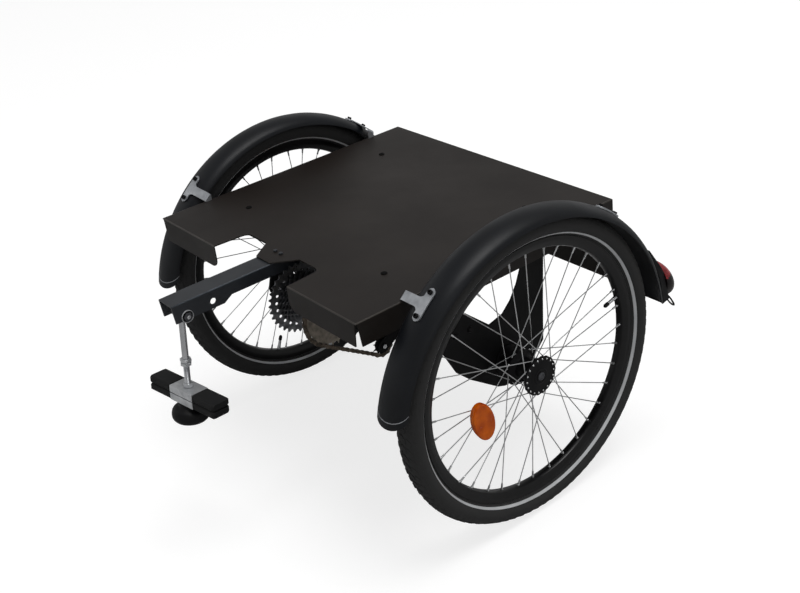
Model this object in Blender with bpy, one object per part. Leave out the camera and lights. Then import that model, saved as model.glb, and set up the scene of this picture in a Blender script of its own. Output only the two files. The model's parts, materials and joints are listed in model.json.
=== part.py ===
"""Two-wheel bicycle platform trailer with a geared chain drive under its deck.

Metres, +Z up, front towards -Y. The model hangs on one empty at the wheels' axis, so every
height below counts from the axle and every length along Y counts from it too.
"""
import math

import bmesh
import bpy
from mathutils import Matrix, Vector

for item in list(bpy.data.objects):
    bpy.data.objects.remove(item, do_unlink=True)

GAP = 0.0003                 # clearance that neighbouring pieces keep
RUN_GAP = 0.0005             # clearance round a turning piece
OVER = 0.004                 # how far a cutter runs past what it cuts
SINK = 0.0005                # how far shapes that are one piece run into each other
FLATNESS = 1e-6              # a face that bends more than this is split

# small screws
SCREW_R = 0.0025
SCREW_HEAD_R = 0.0045
SCREW_HEAD_H = 0.003
CAP_HEAD_H = 0.005
NUT_H = 0.004
DOME_R = 0.0065
DOME_H = 0.004
DOME_NUT_R = 0.0055
DOME_NUT_H = 0.005
DOME_SHANK_R = 0.003

# wheels
TYRE_R = 0.303
TYRE_HALF_W = 0.026
TYRE_SECTION = 0.0495        # the tyre's height over the rim's bead seat
WHEEL_SIDES = 40
RIM_HOOK = 0.006             # the rim's walls stand this much over its bead seat
RIM_DEPTH = 0.0169
RIM_SEAT_R = TYRE_R - TYRE_SECTION
RIM_OUTER_R = RIM_SEAT_R + RIM_HOOK
RIM_INNER_R = RIM_SEAT_R - RIM_DEPTH
RIM_HALF_W = 0.0125
RIM_WALL = 0.0017
RIM_INNER_HALF_W = 0.009
HUB_FLANGE_R = 0.0387
HUB_FLANGE_T = 0.0032
HUB_OUT = 0.026              # outer flange's distance from the wheel's middle
HUB_IN = 0.026               # inner flange's distance from the wheel's middle
HUB_BARREL_R = 0.020
HUB_BOSS_R = 0.013
HUB_BOSS_LEN = 0.0012
HUB_SLOPE = 0.004
HUB_INNER_BOSS = 0.004        # the inner boss is this much wider than the outer one
HUB_INNER_LEN = 0.012
SPOKES_PER_FLANGE = 18
SPOKE_R = 0.001
SPOKE_CIRCLE_R = 0.0335
SPOKE_CROSSINGS = 3
SPOKE_LACE = 0.0002          # crossing spokes lie this much to either side of their common face
SPOKE_TWIST = math.radians(20)
SPOKE_CORNER = 1.15          # a spoke is a prism whose corners stand this many radii out
NIPPLE_OFFSET = 0.0015
VALVE_R = 0.0042
VALVE_LEN = 0.046            # as far as the cap's end would reach inside the rim
VALVE_CUT = 0.014            # the bare stem ends this much short of it
VALVE_CHAMFER = 0.002
VALVE_FOOT = 0.010
VALVE_ANGLE = math.radians(13)
FAR_VALVE_ANGLE = math.radians(249)
REFLECTOR_R = 0.139          # distance of its middle from the axle
REFLECTOR_ANGLE = math.radians(193.7)
FAR_REFLECTOR_ANGLE = math.radians(75)
REFLECTOR_LEN = 0.084
REFLECTOR_W = 0.046
REFLECTOR_T = 0.012

# deck
SHEET = 0.0025
DECK_TOP = 0.221
DECK_HALF_W = 0.325
WHEEL_OFFSET = 0.056         # from the deck's edge to the wheel's middle
HALF_TRACK = DECK_HALF_W + WHEEL_OFFSET
DECK_FRONT = -0.323
DECK_REAR = 0.2905
FLANGE_DEPTH = 0.0475
PANEL_DEPTH = 0.1745
NOTCH_HALF_W = 0.120
NOTCH_FRONT_HALF_W = 0.124
NOTCH_BACK = -0.2475
NOTCH_CORNER_R = 0.015
TONGUE_HALF_W = 0.055
TONGUE_TIP_HALF_W = 0.022
TONGUE_FRONT = -0.292
SLIT_TOP = 0.004
SLIT_BOTTOM = 0.009
LOBE_CORNER_R = 0.018
DECK_HOLE_R = 0.004
DECK_HOLE_X = 0.221
DECK_HOLE_FRONT = -0.181
DECK_HOLE_REAR = 0.161

# tow arm, an inverted channel under the tongue
ARM_SHEET = 0.003
ARM_HALF_W = 0.0232
ARM_FRONT = -0.4985
ARM_NOSE_BACK = 0.0035
ARM_REAR = -0.120
ARM_DEPTH = 0.0362
ARM_REAR_DEPTH = 0.0252
ARM_STEP_FRONT = -0.3955
ARM_STEP_REAR = -0.378
PIVOT_Y = -0.472
PIVOT_Z = 0.189
PIVOT_R = 0.004
ARM_HOLE_R = 0.006
ARM_HOLE_Y = -0.417
ARM_HOLE_Z = 0.1955
WASHER_R = 0.012
WASHER_T = 0.002
HEAD_R = 0.0072
HEAD_H = 0.0055
ARM_BOLT_X = 0.009
ARM_BOLT_Y = -0.2575

# hanging rod and clamp, measured along the rod from its pivot
ROD_LEAN = math.radians(6.8)
EYE_R = 0.0115
ROD_R = 0.006
ROD_LEN = 0.1005
THREAD_R = 0.0058
LOCK_NUT_START = 0.0920
LOCK_NUT_H = 0.0058
NUT_NECK_R = 0.0078          # a collar keeps the two thin nuts apart
NUT_NECK_H = 0.0014
NUT_FLAT = 0.0095            # half the width across the thin nuts' flats
CLAMP_START = 0.149
PLATE_NUT_H = 0.0080
PLATE_NUT_FLAT = 0.0085
JAW_H = 0.0149
JAW_W = 0.040
JAW_LEN = 0.180
JAW_YAW = math.radians(10)
SLEEVE_LEN = 0.0585
SLEEVE_WALL = 0.0045
SLEEVE_TAPER = 0.003
SLEEVE_ROUND = 0.003
JAW_SHEET = 0.003
JAW_DROP = 0.0006            # the plated middle lies this much inside the sleeves' outline
KNOB_R = 0.035
KNOB_NECK_R = 0.020
KNOB_LEN = 0.0420
KNOB_WIDEST = 0.0255
THREAD_END = 0.2110

# side plates and their bolts
PLATE_T = 0.003
PLATE_TOP = 0.2160
PLATE_BAND = 0.0410
PLATE_REAR_TOP = 0.106
PLATE_REAR_BOTTOM = 0.094
PLATE_STRIP_W = 0.057
PLATE_ARM_FRONT = -0.205
PLATE_ARM_REAR = -0.128
PLATE_ELBOW_Y = -0.036
PLATE_ELBOW_Z = 0.090
PLATE_FOOT = 0.055
PLATE_FOOT_STRETCH = 1.45    # the foot is drawn out this much towards the rear
DOME_Y = -0.044
DOME_Z = 0.004
CATCH_FRONT_Y = -0.117
CATCH_REAR_Y = -0.083
CATCH_Z = 0.102

# axle and bearings
AXLE_R = 0.0075
AXLE_STAND = 0.0302          # the axle's end stands this far outside the wheel's middle
AXLE_END = HALF_TRACK + AXLE_STAND
BEARING_R = 0.0300
BEARING_SPIGOT_R = 0.0200
BEARING_FLANGE_T = 0.0070
BEARING_SPIGOT_LEN = 0.0080

# mudguards
GUARD_CLEAR = 0.037          # the guard's outside lies this far over the tyre
GUARD_R = TYRE_R + GUARD_CLEAR
GUARD_DROP = 0.025           # the guard's centre lies this far below the axle
GUARD_HALF_W = 0.037
GUARD_ROUND = 0.018
GUARD_T = 0.002
GUARD_FRONT_ANGLE = math.radians(12.0)
GUARD_TONGUE = 0.022          # the crown reaches this far past the side edges at the front end
GUARD_REAR_ANGLE = math.radians(5.8)

# mudguard brackets
BRACKET_T = 0.003
BAR_W = 0.018
BAR_LEN = 0.062
STEM_W = 0.0185
STEM_T = 0.0022              # the stem's sheet enters the bar's arc between its two faces
FRONT_BRACKET_ANGLE = math.radians(49.4)
REAR_BRACKET_ANGLE = math.radians(51.0)
BRACKET_BOLT_SPAN = 0.0445
NUT_STAND = 0.0018           # the rounded guard curves in under the nuts' rims by this much
STEM_LAP = 0.003             # the stem runs this far under the bar's inner edge
LIP_EDGE = 0.0004            # the lip lies this much inside the stem's outline
STEM_DROP = 0.005            # the stem's inner end lies this much nearer the guard's centre
TIP_OUT = 0.0035             # the stem's lip stands on the deck this far inside its edge

# rear light
LIGHT_ANGLE = math.radians(14.0)
LIGHT_BASE_T = 0.014
LIGHT_BASE_UP = 0.063
LIGHT_BASE_DOWN = 0.057
LIGHT_BASE_STEPS = 9
LIGHT_BASE_HALF_W = 0.024
LIGHT_BASE_TOP = 0.35         # share of the full width and height at the base's top
LIGHT_BASE_RISE = 1.6        # how steeply it grows from there
LIGHT_BASE_LIP = 0.002       # least thickness
LENS_HALF_LEN = 0.044
LENS_HALF_W = 0.027
LENS_H = 0.036
LENS_SHIFT = 0.013
LENS_DROOP = 0.029
LENS_STEPS = (0.0, 0.35, 0.62, 0.83, 0.96)     # heights of the dome's sections
HOOK_R = 0.0009
HOOK_HALF_W = 0.007
HOOK_LEN = 0.033
HOOK_BACK = 0.020
HOOK_OUT = 0.029
HOOK_FALL = 0.010

# chain drive
PITCH = 0.0127
CHAIN_LINKS = 78
CHAIN_HALF_H = 0.0041
CHAIN_INNER = 0.0013
CHAIN_PLATE = 0.0016
ROLLER_R = 0.0037
SPROCKET_T = 0.0018
TOOTH_ROOT = 0.0006
TOOTH_TIP = 0.0022
TOOTH_SHARE = 0.20
OUTPUT_TEETH = 30
DRIVEN_TEETH = 22
PULLEY_TEETH = 10
OUTPUT_X = 0.132
BOSS_R = 0.016
DRIVEN_BOSS_R = 0.018
BOSS_LEN = 0.010
JACK_Y = -0.2435
JACK_Z = 0.133
JACK_R = 0.006
JACK_FROM = -0.050
JACK_TO = 0.168
GUIDE_Y = -0.0965
GUIDE_Z = 0.0500
CAGE_LEN = 0.056
CAGE_ANGLE = math.radians(30)
CAGE_T = 0.0015
CAGE_R = 0.013
CAGE_HALF_GAP = 0.0050
PULLEY_PIN_R = 0.0025
PIN_HEAD_R = 0.0045
PIN_HEAD_H = 0.003
KNUCKLE_R = 0.011
CASSETTE_X = 0.030
COG_STEP = 0.0050
COG_TEETH = (34, 24, 22, 20, 18, 16, 14)
FREEHUB_R = 0.0165
FREEHUB_LIP = 0.004
FREEHUB_LOCK = 0.002         # the freehub stands this much past the last cog
SPACER_WALL = 0.0022
FREEHUB_FROM = 0.0245
HANGER_T = 0.004
HANGER_LEFT_X = -0.042
HANGER_RIGHT_X = 0.156
HANGER_HALF_LEN = 0.040
HANGER_MID = -0.200
HANGER_FLANGE = 0.030
HANGER_EYE_R = 0.022
STRAP_ROOT_HALF_W = 0.016    # the strap to the tensioner's pivot, at the jackshaft
STRAP_END_R = 0.012          # and at the pivot
JACK_BEARING_R = 0.013
JACK_BEARING_STAND = 0.001   # the bearing stands this much out of its hanger


def material(name, colour, roughness, metallic):
    """Make a plain shaded material."""
    made = bpy.data.materials.new(name)
    made.use_nodes = True
    shader = made.node_tree.nodes["Principled BSDF"]
    shader.inputs["Base Color"].default_value = (*colour, 1.0)
    shader.inputs["Roughness"].default_value = roughness
    shader.inputs["Metallic"].default_value = metallic
    return made


DECK_PAINT = material("deck_paint", (0.033, 0.028, 0.025), 0.45, 0.0)
ARM_PAINT = material("arm_paint", (0.020, 0.022, 0.027), 0.40, 0.0)
PLATE_PAINT = material("plate_paint", (0.038, 0.038, 0.040), 0.50, 0.0)
GUARD_PLASTIC = material("guard_plastic", (0.030, 0.032, 0.036), 0.35, 0.0)
TYRE_RUBBER = material("tyre_rubber", (0.018, 0.018, 0.019), 0.80, 0.0)
SLEEVE_RUBBER = material("sleeve_rubber", (0.012, 0.012, 0.013), 0.70, 0.0)
BLACK_METAL = material("black_metal", (0.020, 0.020, 0.022), 0.40, 0.3)
BRIGHT_STEEL = material("bright_steel", (0.60, 0.60, 0.60), 0.28, 1.0)
ZINC = material("zinc_plate", (0.52, 0.53, 0.54), 0.38, 1.0)
ALUMINIUM = material("aluminium", (0.68, 0.69, 0.70), 0.40, 1.0)
SPROCKET_STEEL = material("sprocket_steel", (0.30, 0.27, 0.24), 0.45, 1.0)
CHAIN_STEEL = material("chain_steel", (0.20, 0.17, 0.14), 0.50, 1.0)
AMBER = material("amber_plastic", (0.75, 0.22, 0.01), 0.20, 0.0)
RED_LENS = material("red_lens", (0.16, 0.008, 0.012), 0.15, 0.0)
KNOB_PLASTIC = material("knob_plastic", (0.014, 0.014, 0.015), 0.45, 0.0)


def empty(name, parent, place=(0.0, 0.0, 0.0), turn=(0.0, 0.0, 0.0)):
    """Make an empty that carries a joint's axis."""
    made = bpy.data.objects.new(name, None)
    made.empty_display_size = 0.03
    bpy.context.scene.collection.objects.link(made)
    made.parent = parent
    made.location = place
    made.rotation_euler = turn
    return made


def flat_faced(shape):
    """Turn a bmesh's faces outwards and split the ones that aren't flat."""
    bmesh.ops.recalc_face_normals(shape, faces=shape.faces)
    bent = [face for face in shape.faces if len(face.verts) == 4 and any(
        abs((vert.co - face.verts[0].co).dot(face.normal)) > FLATNESS for vert in face.verts)]
    bmesh.ops.triangulate(shape, faces=bent)
    return shape


def node(name, parts, parent, finish, cutters=()):
    """Link one named piece made of the given bmeshes, then cut it with each cutter."""
    whole = bpy.data.meshes.new(name)
    joined = bmesh.new()
    for part in parts:
        part.to_mesh(whole)
        joined.from_mesh(whole)
        part.free()
    flat_faced(joined).to_mesh(whole)
    joined.free()
    whole.shade_smooth()
    whole.set_sharp_from_angle(angle=math.radians(32))
    whole.materials.append(finish)
    made = bpy.data.objects.new(name, whole)
    bpy.context.scene.collection.objects.link(made)
    made.parent = parent
    for count, cutter in enumerate(cutters):
        shape = bpy.data.meshes.new(f"{name}_tool_{count}")
        flat_faced(cutter[1]).to_mesh(shape)
        cutter[1].free()
        tool = bpy.data.objects.new(f"{name}_tool_{count}", shape)
        bpy.context.scene.collection.objects.link(tool)
        tool.parent = parent
        tool.hide_render = True
        tool.display_type = "WIRE"
        step = made.modifiers.new(f"shape_{count}", "BOOLEAN")
        step.operation = cutter[0]
        step.solver = "EXACT"
        step.object = tool
    return made


def place_on(axis, along, first, second):
    """Return a point from its position along an axis and its two other coordinates in order."""
    if axis == "X":
        return Vector((along, first, second))
    if axis == "Y":
        return Vector((first, along, second))
    return Vector((first, second, along))


def prism(outline, axis, low, high):
    """Extrude a flat outline along an axis."""
    shape = bmesh.new()
    corners = [shape.verts.new(place_on(axis, low, a, b)) for a, b in outline]
    face = shape.faces.new(corners)
    lifted = bmesh.ops.extrude_face_region(shape, geom=[face])
    moved = [part for part in lifted["geom"] if isinstance(part, bmesh.types.BMVert)]
    bmesh.ops.translate(shape, verts=moved, vec=place_on(axis, high - low, 0.0, 0.0))
    return shape


def box(low, high):
    """Make a box between two corners."""
    outline = [(low[0], low[1]), (high[0], low[1]), (high[0], high[1]), (low[0], high[1])]
    return prism(outline, "Z", low[2], high[2])


def ring_of(count, radius, start=0.0):
    """Return a regular polygon's corners."""
    turn = 2 * math.pi / count
    return [(radius * math.cos(start + turn * k), radius * math.sin(start + turn * k))
            for k in range(count)]


def disc(radius, axis, low, high, centre=(0.0, 0.0), count=16):
    """Make a cylinder along an axis."""
    outline = [(centre[0] + a, centre[1] + b) for a, b in ring_of(count, radius, -math.pi / 2)]
    return prism(outline, axis, low, high)


def bore(radius, axis, low, high, centre=(0.0, 0.0), count=16):
    """Make a cutter whose flats, not its corners, lie at the radius."""
    return disc(radius / math.cos(math.pi / count), axis, low - OVER, high + OVER, centre, count)


def turned(profile, axis, count, centre=(0.0, 0.0), start=-math.pi / 2, sweep=2 * math.pi):
    """Turn a closed profile of (radius, along) points round an axis, all the way or partly."""
    shape = bmesh.new()
    full = abs(sweep - 2 * math.pi) < 1e-9
    stations = count if full else count + 1
    rings = []
    for step in range(stations):
        angle = start + sweep * step / count
        ring = []
        for radius, along in profile:
            first = centre[0] + radius * math.cos(angle)
            second = centre[1] + radius * math.sin(angle)
            ring.append(shape.verts.new(place_on(axis, along, first, second)))
        rings.append(ring)
    for step in range(count):
        here = rings[step]
        there = rings[(step + 1) % stations]
        for k in range(len(profile)):
            n = (k + 1) % len(profile)
            shape.faces.new((here[k], here[n], there[n], there[k]))
    if not full:
        shape.faces.new(rings[0])
        shape.faces.new(list(reversed(rings[-1])))
    else:
        bmesh.ops.remove_doubles(shape, verts=shape.verts, dist=1e-7)
        bmesh.ops.dissolve_degenerate(shape, edges=shape.edges, dist=1e-7)
    return shape


def solid_of_turns(profile, axis, count, centre=(0.0, 0.0)):
    """Turn an open profile that starts and ends on the axis."""
    shape = bmesh.new()
    first_pole = shape.verts.new(place_on(axis, profile[0][1], *centre))
    last_pole = shape.verts.new(place_on(axis, profile[-1][1], *centre))
    rings = []
    for radius, along in profile[1:-1]:
        ring = []
        for a, b in ring_of(count, radius, -math.pi / 2):
            ring.append(shape.verts.new(place_on(axis, along, centre[0] + a, centre[1] + b)))
        rings.append(ring)
    for here, there in zip(rings, rings[1:]):
        for k in range(count):
            n = (k + 1) % count
            shape.faces.new((here[k], here[n], there[n], there[k]))
    for k in range(count):
        n = (k + 1) % count
        shape.faces.new((first_pole, rings[0][n], rings[0][k]))
        shape.faces.new((last_pole, rings[-1][k], rings[-1][n]))
    return shape


def loft(sections):
    """Join sections of equally many points into one closed body."""
    shape = bmesh.new()
    rings = [[shape.verts.new(point) for point in section] for section in sections]
    for here, there in zip(rings, rings[1:]):
        for k in range(len(here)):
            n = (k + 1) % len(here)
            shape.faces.new((here[k], here[n], there[n], there[k]))
    shape.faces.new(rings[0])
    shape.faces.new(list(reversed(rings[-1])))
    return shape


def wire(points, radius, sides, side):
    """Sweep a round section along a line of points, whose runs never lie along the side vector."""
    sections = []
    for k, point in enumerate(points):
        before = points[max(k - 1, 0)]
        after = points[min(k + 1, len(points) - 1)]
        run = (after - before).normalized()
        up = run.cross(side).normalized()
        across = up.cross(run).normalized()
        sections.append([point + radius * (across * a + up * b) for a, b in ring_of(sides, 1.0)])
    return loft(sections)


def merged(parts):
    """Gather several bmeshes into one."""
    whole = bmesh.new()
    carrier = bpy.data.meshes.new("carrier")
    for part in parts:
        part.to_mesh(carrier)
        whole.from_mesh(carrier)
        part.free()
    bpy.data.meshes.remove(carrier)
    return whole


def bolt(axis, centre, head, shank_r, nut, count=6):
    """Turn a bolt with its nut: head (radius, top, underside), nut (radius, face, end)."""
    head_r, head_top, head_under = head
    nut_r, nut_under, nut_end = nut
    profile = [(0.0, head_top), (head_r * 0.8, head_top), (head_r, head_top * 0.6 + head_under * 0.4),
               (head_r, head_under), (shank_r, head_under), (shank_r, nut_under),
               (nut_r, nut_under), (nut_r, nut_end), (0.0, nut_end)]
    return solid_of_turns(profile, axis, count, centre)


def moved(shape, matrix):
    """Move a bmesh and give it back."""
    bmesh.ops.transform(shape, matrix=matrix, verts=shape.verts)
    return shape


def teeth_outline(teeth, root_r, tip_r, root_share, start):
    """Return a toothed disc's outline, with a gap between teeth at the start angle."""
    outline = []
    turn = 2 * math.pi / teeth
    for k in range(teeth):
        middle = start + turn * (k + 0.5)
        for radius, share in ((root_r, -root_share), (tip_r, 0.0), (root_r, root_share)):
            if share == 0.5:
                continue
            angle = middle + turn * share
            outline.append((radius * math.cos(angle), radius * math.sin(angle)))
    return outline


def pitch_radius(teeth):
    """Return a sprocket's pitch radius."""
    return PITCH / 2 / math.sin(math.pi / teeth)


def sprocket(teeth, axis_at, start, thickness):
    """Return a chain sprocket's toothed disc."""
    radius = pitch_radius(teeth)
    outline = teeth_outline(teeth, radius - ROLLER_R - TOOTH_ROOT, radius + TOOTH_TIP, TOOTH_SHARE, start)
    half = thickness / 2
    return prism(outline, "X", axis_at - half, axis_at + half)


base = empty("trailer", None, (0.0, 0.0, TYRE_R))
right_wheel = empty("right_wheel_axis", base)
left_wheel = empty("left_wheel_axis", base)
jackshaft = empty("jackshaft_axis", base, (0.0, JACK_Y, JACK_Z))
guide = empty("guide_pulley_axis", base, (0.0, GUIDE_Y, GUIDE_Z))
rod = empty("rod_axis", base, (0.0, PIVOT_Y, PIVOT_Z), (-ROD_LEAN, 0.0, 0.0))
clamp = empty("clamp_axis", rod, (0.0, 0.0, 0.0), (0.0, 0.0, JAW_YAW))

# deck
SHEET_LOW = DECK_TOP - SHEET
corner = [(NOTCH_HALF_W - NOTCH_CORNER_R * (1 - math.cos(t)), NOTCH_BACK - NOTCH_CORNER_R * (1 - math.sin(t)))
          for t in (0.0, math.pi / 8, math.pi / 4, 3 * math.pi / 8, math.pi / 2)]
right_edge = [(DECK_HALF_W, DECK_REAR), (DECK_HALF_W, DECK_FRONT), (NOTCH_FRONT_HALF_W, DECK_FRONT)]
right_edge += corner + [(TONGUE_HALF_W, NOTCH_BACK), (TONGUE_TIP_HALF_W, TONGUE_FRONT)]
deck_outline = right_edge + [(-x, y) for x, y in reversed(right_edge)]
FLANGE_LOW = DECK_TOP - FLANGE_DEPTH
SHEET_MID = DECK_TOP - SHEET / 2
side_outline = [(DECK_FRONT + SLIT_TOP, SHEET_MID), (DECK_FRONT + SLIT_BOTTOM, FLANGE_LOW),
                (DECK_REAR - SHEET, FLANGE_LOW), (DECK_REAR - SHEET, SHEET_MID)]
lobe_outline = [(DECK_HALF_W - SLIT_TOP, SHEET_MID), (DECK_HALF_W - SLIT_BOTTOM, FLANGE_LOW)]
lobe_outline += [(NOTCH_FRONT_HALF_W + LOBE_CORNER_R * (1 - math.sin(t)),
                  FLANGE_LOW + LOBE_CORNER_R * (1 - math.cos(t)))
                 for t in (0.0, math.pi / 8, math.pi / 4, 3 * math.pi / 8, math.pi / 2)]
lobe_outline += [(NOTCH_FRONT_HALF_W, SHEET_MID)]
joins = []
for side in (-1, 1):
    near, far = sorted((side * (DECK_HALF_W - SHEET), side * DECK_HALF_W))
    joins.append(("UNION", prism(side_outline, "X", near, far)))
    lobe = [(side * a, b) for a, b in lobe_outline]
    joins.append(("UNION", prism(lobe, "Y", DECK_FRONT, DECK_FRONT + SHEET)))
joins.append(("UNION", box((-DECK_HALF_W, DECK_REAR - SHEET, DECK_TOP - PANEL_DEPTH),
                           (DECK_HALF_W, DECK_REAR, SHEET_MID))))
holes = []
for side in (-1, 1):
    for along in (DECK_HOLE_FRONT, DECK_HOLE_REAR):
        holes.append((side * DECK_HOLE_X, along, DECK_HOLE_R))
    holes.append((side * ARM_BOLT_X, ARM_BOLT_Y, SCREW_R + GAP))
for across, along, radius in holes:
    joins.append(("DIFFERENCE", bore(radius, "Z", SHEET_LOW, DECK_TOP, (across, along), 12)))
node("deck", [prism(deck_outline, "Z", SHEET_LOW, DECK_TOP)], base, DECK_PAINT, joins)

# tow arm
ARM_TOP = SHEET_LOW - GAP
arm_outline = [(ARM_FRONT, ARM_TOP), (ARM_FRONT + ARM_NOSE_BACK, ARM_TOP - ARM_DEPTH),
               (ARM_STEP_FRONT, ARM_TOP - ARM_DEPTH), (ARM_STEP_REAR, ARM_TOP - ARM_REAR_DEPTH),
               (ARM_REAR, ARM_TOP - ARM_REAR_DEPTH), (ARM_REAR, ARM_TOP)]
ARM_INNER = ARM_HALF_W - ARM_SHEET
arm_cuts = [("DIFFERENCE", box((-ARM_INNER, ARM_FRONT - OVER, ARM_TOP - ARM_DEPTH - OVER),
                               (ARM_INNER, ARM_REAR + OVER, ARM_TOP - ARM_SHEET)))]
for across, height, radius in ((PIVOT_Y, PIVOT_Z, PIVOT_R + GAP), (ARM_HOLE_Y, ARM_HOLE_Z, ARM_HOLE_R)):
    arm_cuts.append(("DIFFERENCE", bore(radius, "X", -ARM_HALF_W, ARM_HALF_W, (across, height))))
for side in (-1, 1):
    arm_cuts.append(("UNION", bolt("Z", (side * ARM_BOLT_X, ARM_BOLT_Y),
                                   (SCREW_HEAD_R, DECK_TOP + GAP + SCREW_HEAD_H, DECK_TOP + GAP), SCREW_R,
                                   (SCREW_HEAD_R, ARM_TOP - ARM_SHEET + SINK, ARM_TOP - ARM_SHEET - NUT_H))))
node("tow_arm", [prism(arm_outline, "X", -ARM_HALF_W, ARM_HALF_W)], base, ARM_PAINT, arm_cuts)

# pivot bolt of the hanging rod
washer_from = ARM_HALF_W + GAP
washer_to = washer_from + WASHER_T
head_to = washer_to + HEAD_H
pivot_profile = [(0.0, head_to), (HEAD_R, head_to), (HEAD_R, washer_to), (WASHER_R, washer_to),
                 (WASHER_R, washer_from), (PIVOT_R, washer_from)]
pivot_profile += [(r, -along) for r, along in reversed(pivot_profile)]
node("pivot_bolt", [solid_of_turns(pivot_profile, "X", 18)],
     empty("pivot_axis", base, (0.0, PIVOT_Y, PIVOT_Z)), ZINC)

# hanging rod
EYE_HALF_W = ARM_INNER - GAP
eye = turned([(PIVOT_R + GAP, -EYE_HALF_W), (EYE_R, -EYE_HALF_W), (EYE_R, EYE_HALF_W),
              (PIVOT_R + GAP, EYE_HALF_W)], "X", 20)
node("eye_rod", [eye], rod, BRIGHT_STEEL,
     [("UNION", disc(ROD_R, "Z", -ROD_LEN, -EYE_R + 0.0015, count=16))])
node("threaded_rod", [disc(THREAD_R, "Z", -THREAD_END, -ROD_LEN - GAP, count=12)], rod, ZINC)


def hex_nut(flat, top, bottom):
    """Return a nut round the rod, not bored yet."""
    return prism(ring_of(6, flat / math.cos(math.pi / 6)), "Z", bottom, top)


lock_nut = hex_nut(NUT_FLAT, -LOCK_NUT_START, -LOCK_NUT_START - LOCK_NUT_H)
bmesh.ops.rotate(lock_nut, verts=lock_nut.verts, matrix=Matrix.Rotation(math.radians(14), 3, "Z"))
neck_top = -LOCK_NUT_START - LOCK_NUT_H
neck = disc(NUT_NECK_R, "Z", neck_top - NUT_NECK_H, neck_top, count=16)
lower_nut = hex_nut(NUT_FLAT, neck_top - NUT_NECK_H, neck_top - NUT_NECK_H - LOCK_NUT_H)
long_bore = bore(ROD_R + GAP, "Z", neck_top - NUT_NECK_H - LOCK_NUT_H, -LOCK_NUT_START)
node("rod_nuts", [neck], rod, ZINC, [("UNION", lock_nut), ("UNION", lower_nut), ("DIFFERENCE", long_bore)])
node("plate_nut", [hex_nut(PLATE_NUT_FLAT, -CLAMP_START + PLATE_NUT_H + GAP, -CLAMP_START + GAP)], rod, ZINC,
     [("DIFFERENCE", bore(THREAD_R + GAP, "Z", -CLAMP_START, -CLAMP_START + PLATE_NUT_H))])


def jaw(name, sleeves_name, top, opens, parent):
    """Build one clamp jaw: a folded plate with flat ends, and a rubber sleeve on each end."""
    bottom = top - JAW_H
    half_mid = JAW_LEN / 2 - SLEEVE_LEN - GAP
    half_w = JAW_W / 2 - JAW_DROP
    outer = top - JAW_DROP if opens < 0 else bottom + JAW_DROP
    inner = bottom + JAW_DROP if opens < 0 else top - JAW_DROP
    low, high = sorted((outer, inner))
    middle = box((-half_mid, -half_w, low), (half_mid, half_w, high))
    hollow_low, hollow_high = sorted((outer + opens * JAW_SHEET, inner + opens * OVER))
    hollow = box((-half_mid - OVER, -half_w + JAW_SHEET, hollow_low),
                 (half_mid + OVER, half_w - JAW_SHEET, hollow_high))
    core_far = outer + opens * SLEEVE_WALL
    core_low, core_high = sorted((core_far, core_far + opens * JAW_SHEET))
    core_half = JAW_LEN / 2 - SLEEVE_WALL
    core_w = half_w - SLEEVE_WALL
    web_low, web_high = sorted((outer, core_far + opens * JAW_SHEET))
    steps = [("DIFFERENCE", hollow)]
    for side in (-1, 1):
        near, far = sorted((side * (half_mid - JAW_SHEET), side * core_half))
        steps.append(("UNION", box((near, -core_w, core_low), (far, core_w, core_high))))
        near, far = sorted((side * (half_mid - JAW_SHEET), side * half_mid))
        web_w = half_w - JAW_SHEET / 2
        steps.append(("UNION", box((near, -web_w, web_low), (far, web_w, web_high))))
    steps.append(("DIFFERENCE", bore(THREAD_R + RUN_GAP, "Z", bottom, top)))
    node(name, [middle], parent, ZINC, steps)
    for side, word in ((-1, "left"), (1, "right")):
        sections = []
        for share, inset in ((0.0, 0.0015), (0.03, 0.0), (0.94, 0.0), (1.0, SLEEVE_TAPER)):
            across = side * (JAW_LEN / 2 - SLEEVE_LEN + SLEEVE_LEN * share)
            half_y = JAW_W / 2 - inset
            low_z = bottom + inset / 2
            high_z = top - inset / 2
            cut = SLEEVE_ROUND
            section = [(half_y, low_z + cut), (half_y, high_z - cut), (half_y - cut, high_z),
                       (-half_y + cut, high_z), (-half_y, high_z - cut), (-half_y, low_z + cut),
                       (-half_y + cut, low_z), (half_y - cut, low_z)]
            sections.append([Vector((across, a, b)) for a, b in section])
        near, far = sorted((side * (half_mid - OVER), side * (core_half + GAP)))
        slot = box((near, -core_w - GAP, core_low - GAP), (far, core_w + GAP, core_high + GAP))
        node(f"{sleeves_name}_{word}_sleeve", [loft(sections)], parent, SLEEVE_RUBBER, [("DIFFERENCE", slot)])


jaw("top_jaw", "top", -CLAMP_START, -1, clamp)
LOWER_TOP = -CLAMP_START - JAW_H - GAP
jaw("bottom_jaw", "bottom", LOWER_TOP, 1, clamp)

# knob
knob_top = LOWER_TOP - JAW_H - GAP
dome_r = [(KNOB_NECK_R, knob_top), (KNOB_NECK_R, knob_top - 0.006),
          (KNOB_R * 0.86, knob_top - 0.012), (KNOB_R * 0.98, knob_top - KNOB_WIDEST + 0.006),
          (KNOB_R, knob_top - KNOB_WIDEST), (KNOB_R * 0.95, knob_top - KNOB_WIDEST - 0.006),
          (KNOB_R * 0.78, knob_top - KNOB_LEN + 0.0055), (KNOB_R * 0.45, knob_top - KNOB_LEN + 0.0012)]
knob_profile = [(0.0, knob_top)] + dome_r + [(0.0, knob_top - KNOB_LEN)]
node("knob", [solid_of_turns(knob_profile, "Z", 20)], clamp, KNOB_PLASTIC,
     [("DIFFERENCE", bore(THREAD_R + GAP, "Z", OVER - THREAD_END - GAP, knob_top))])

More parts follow.
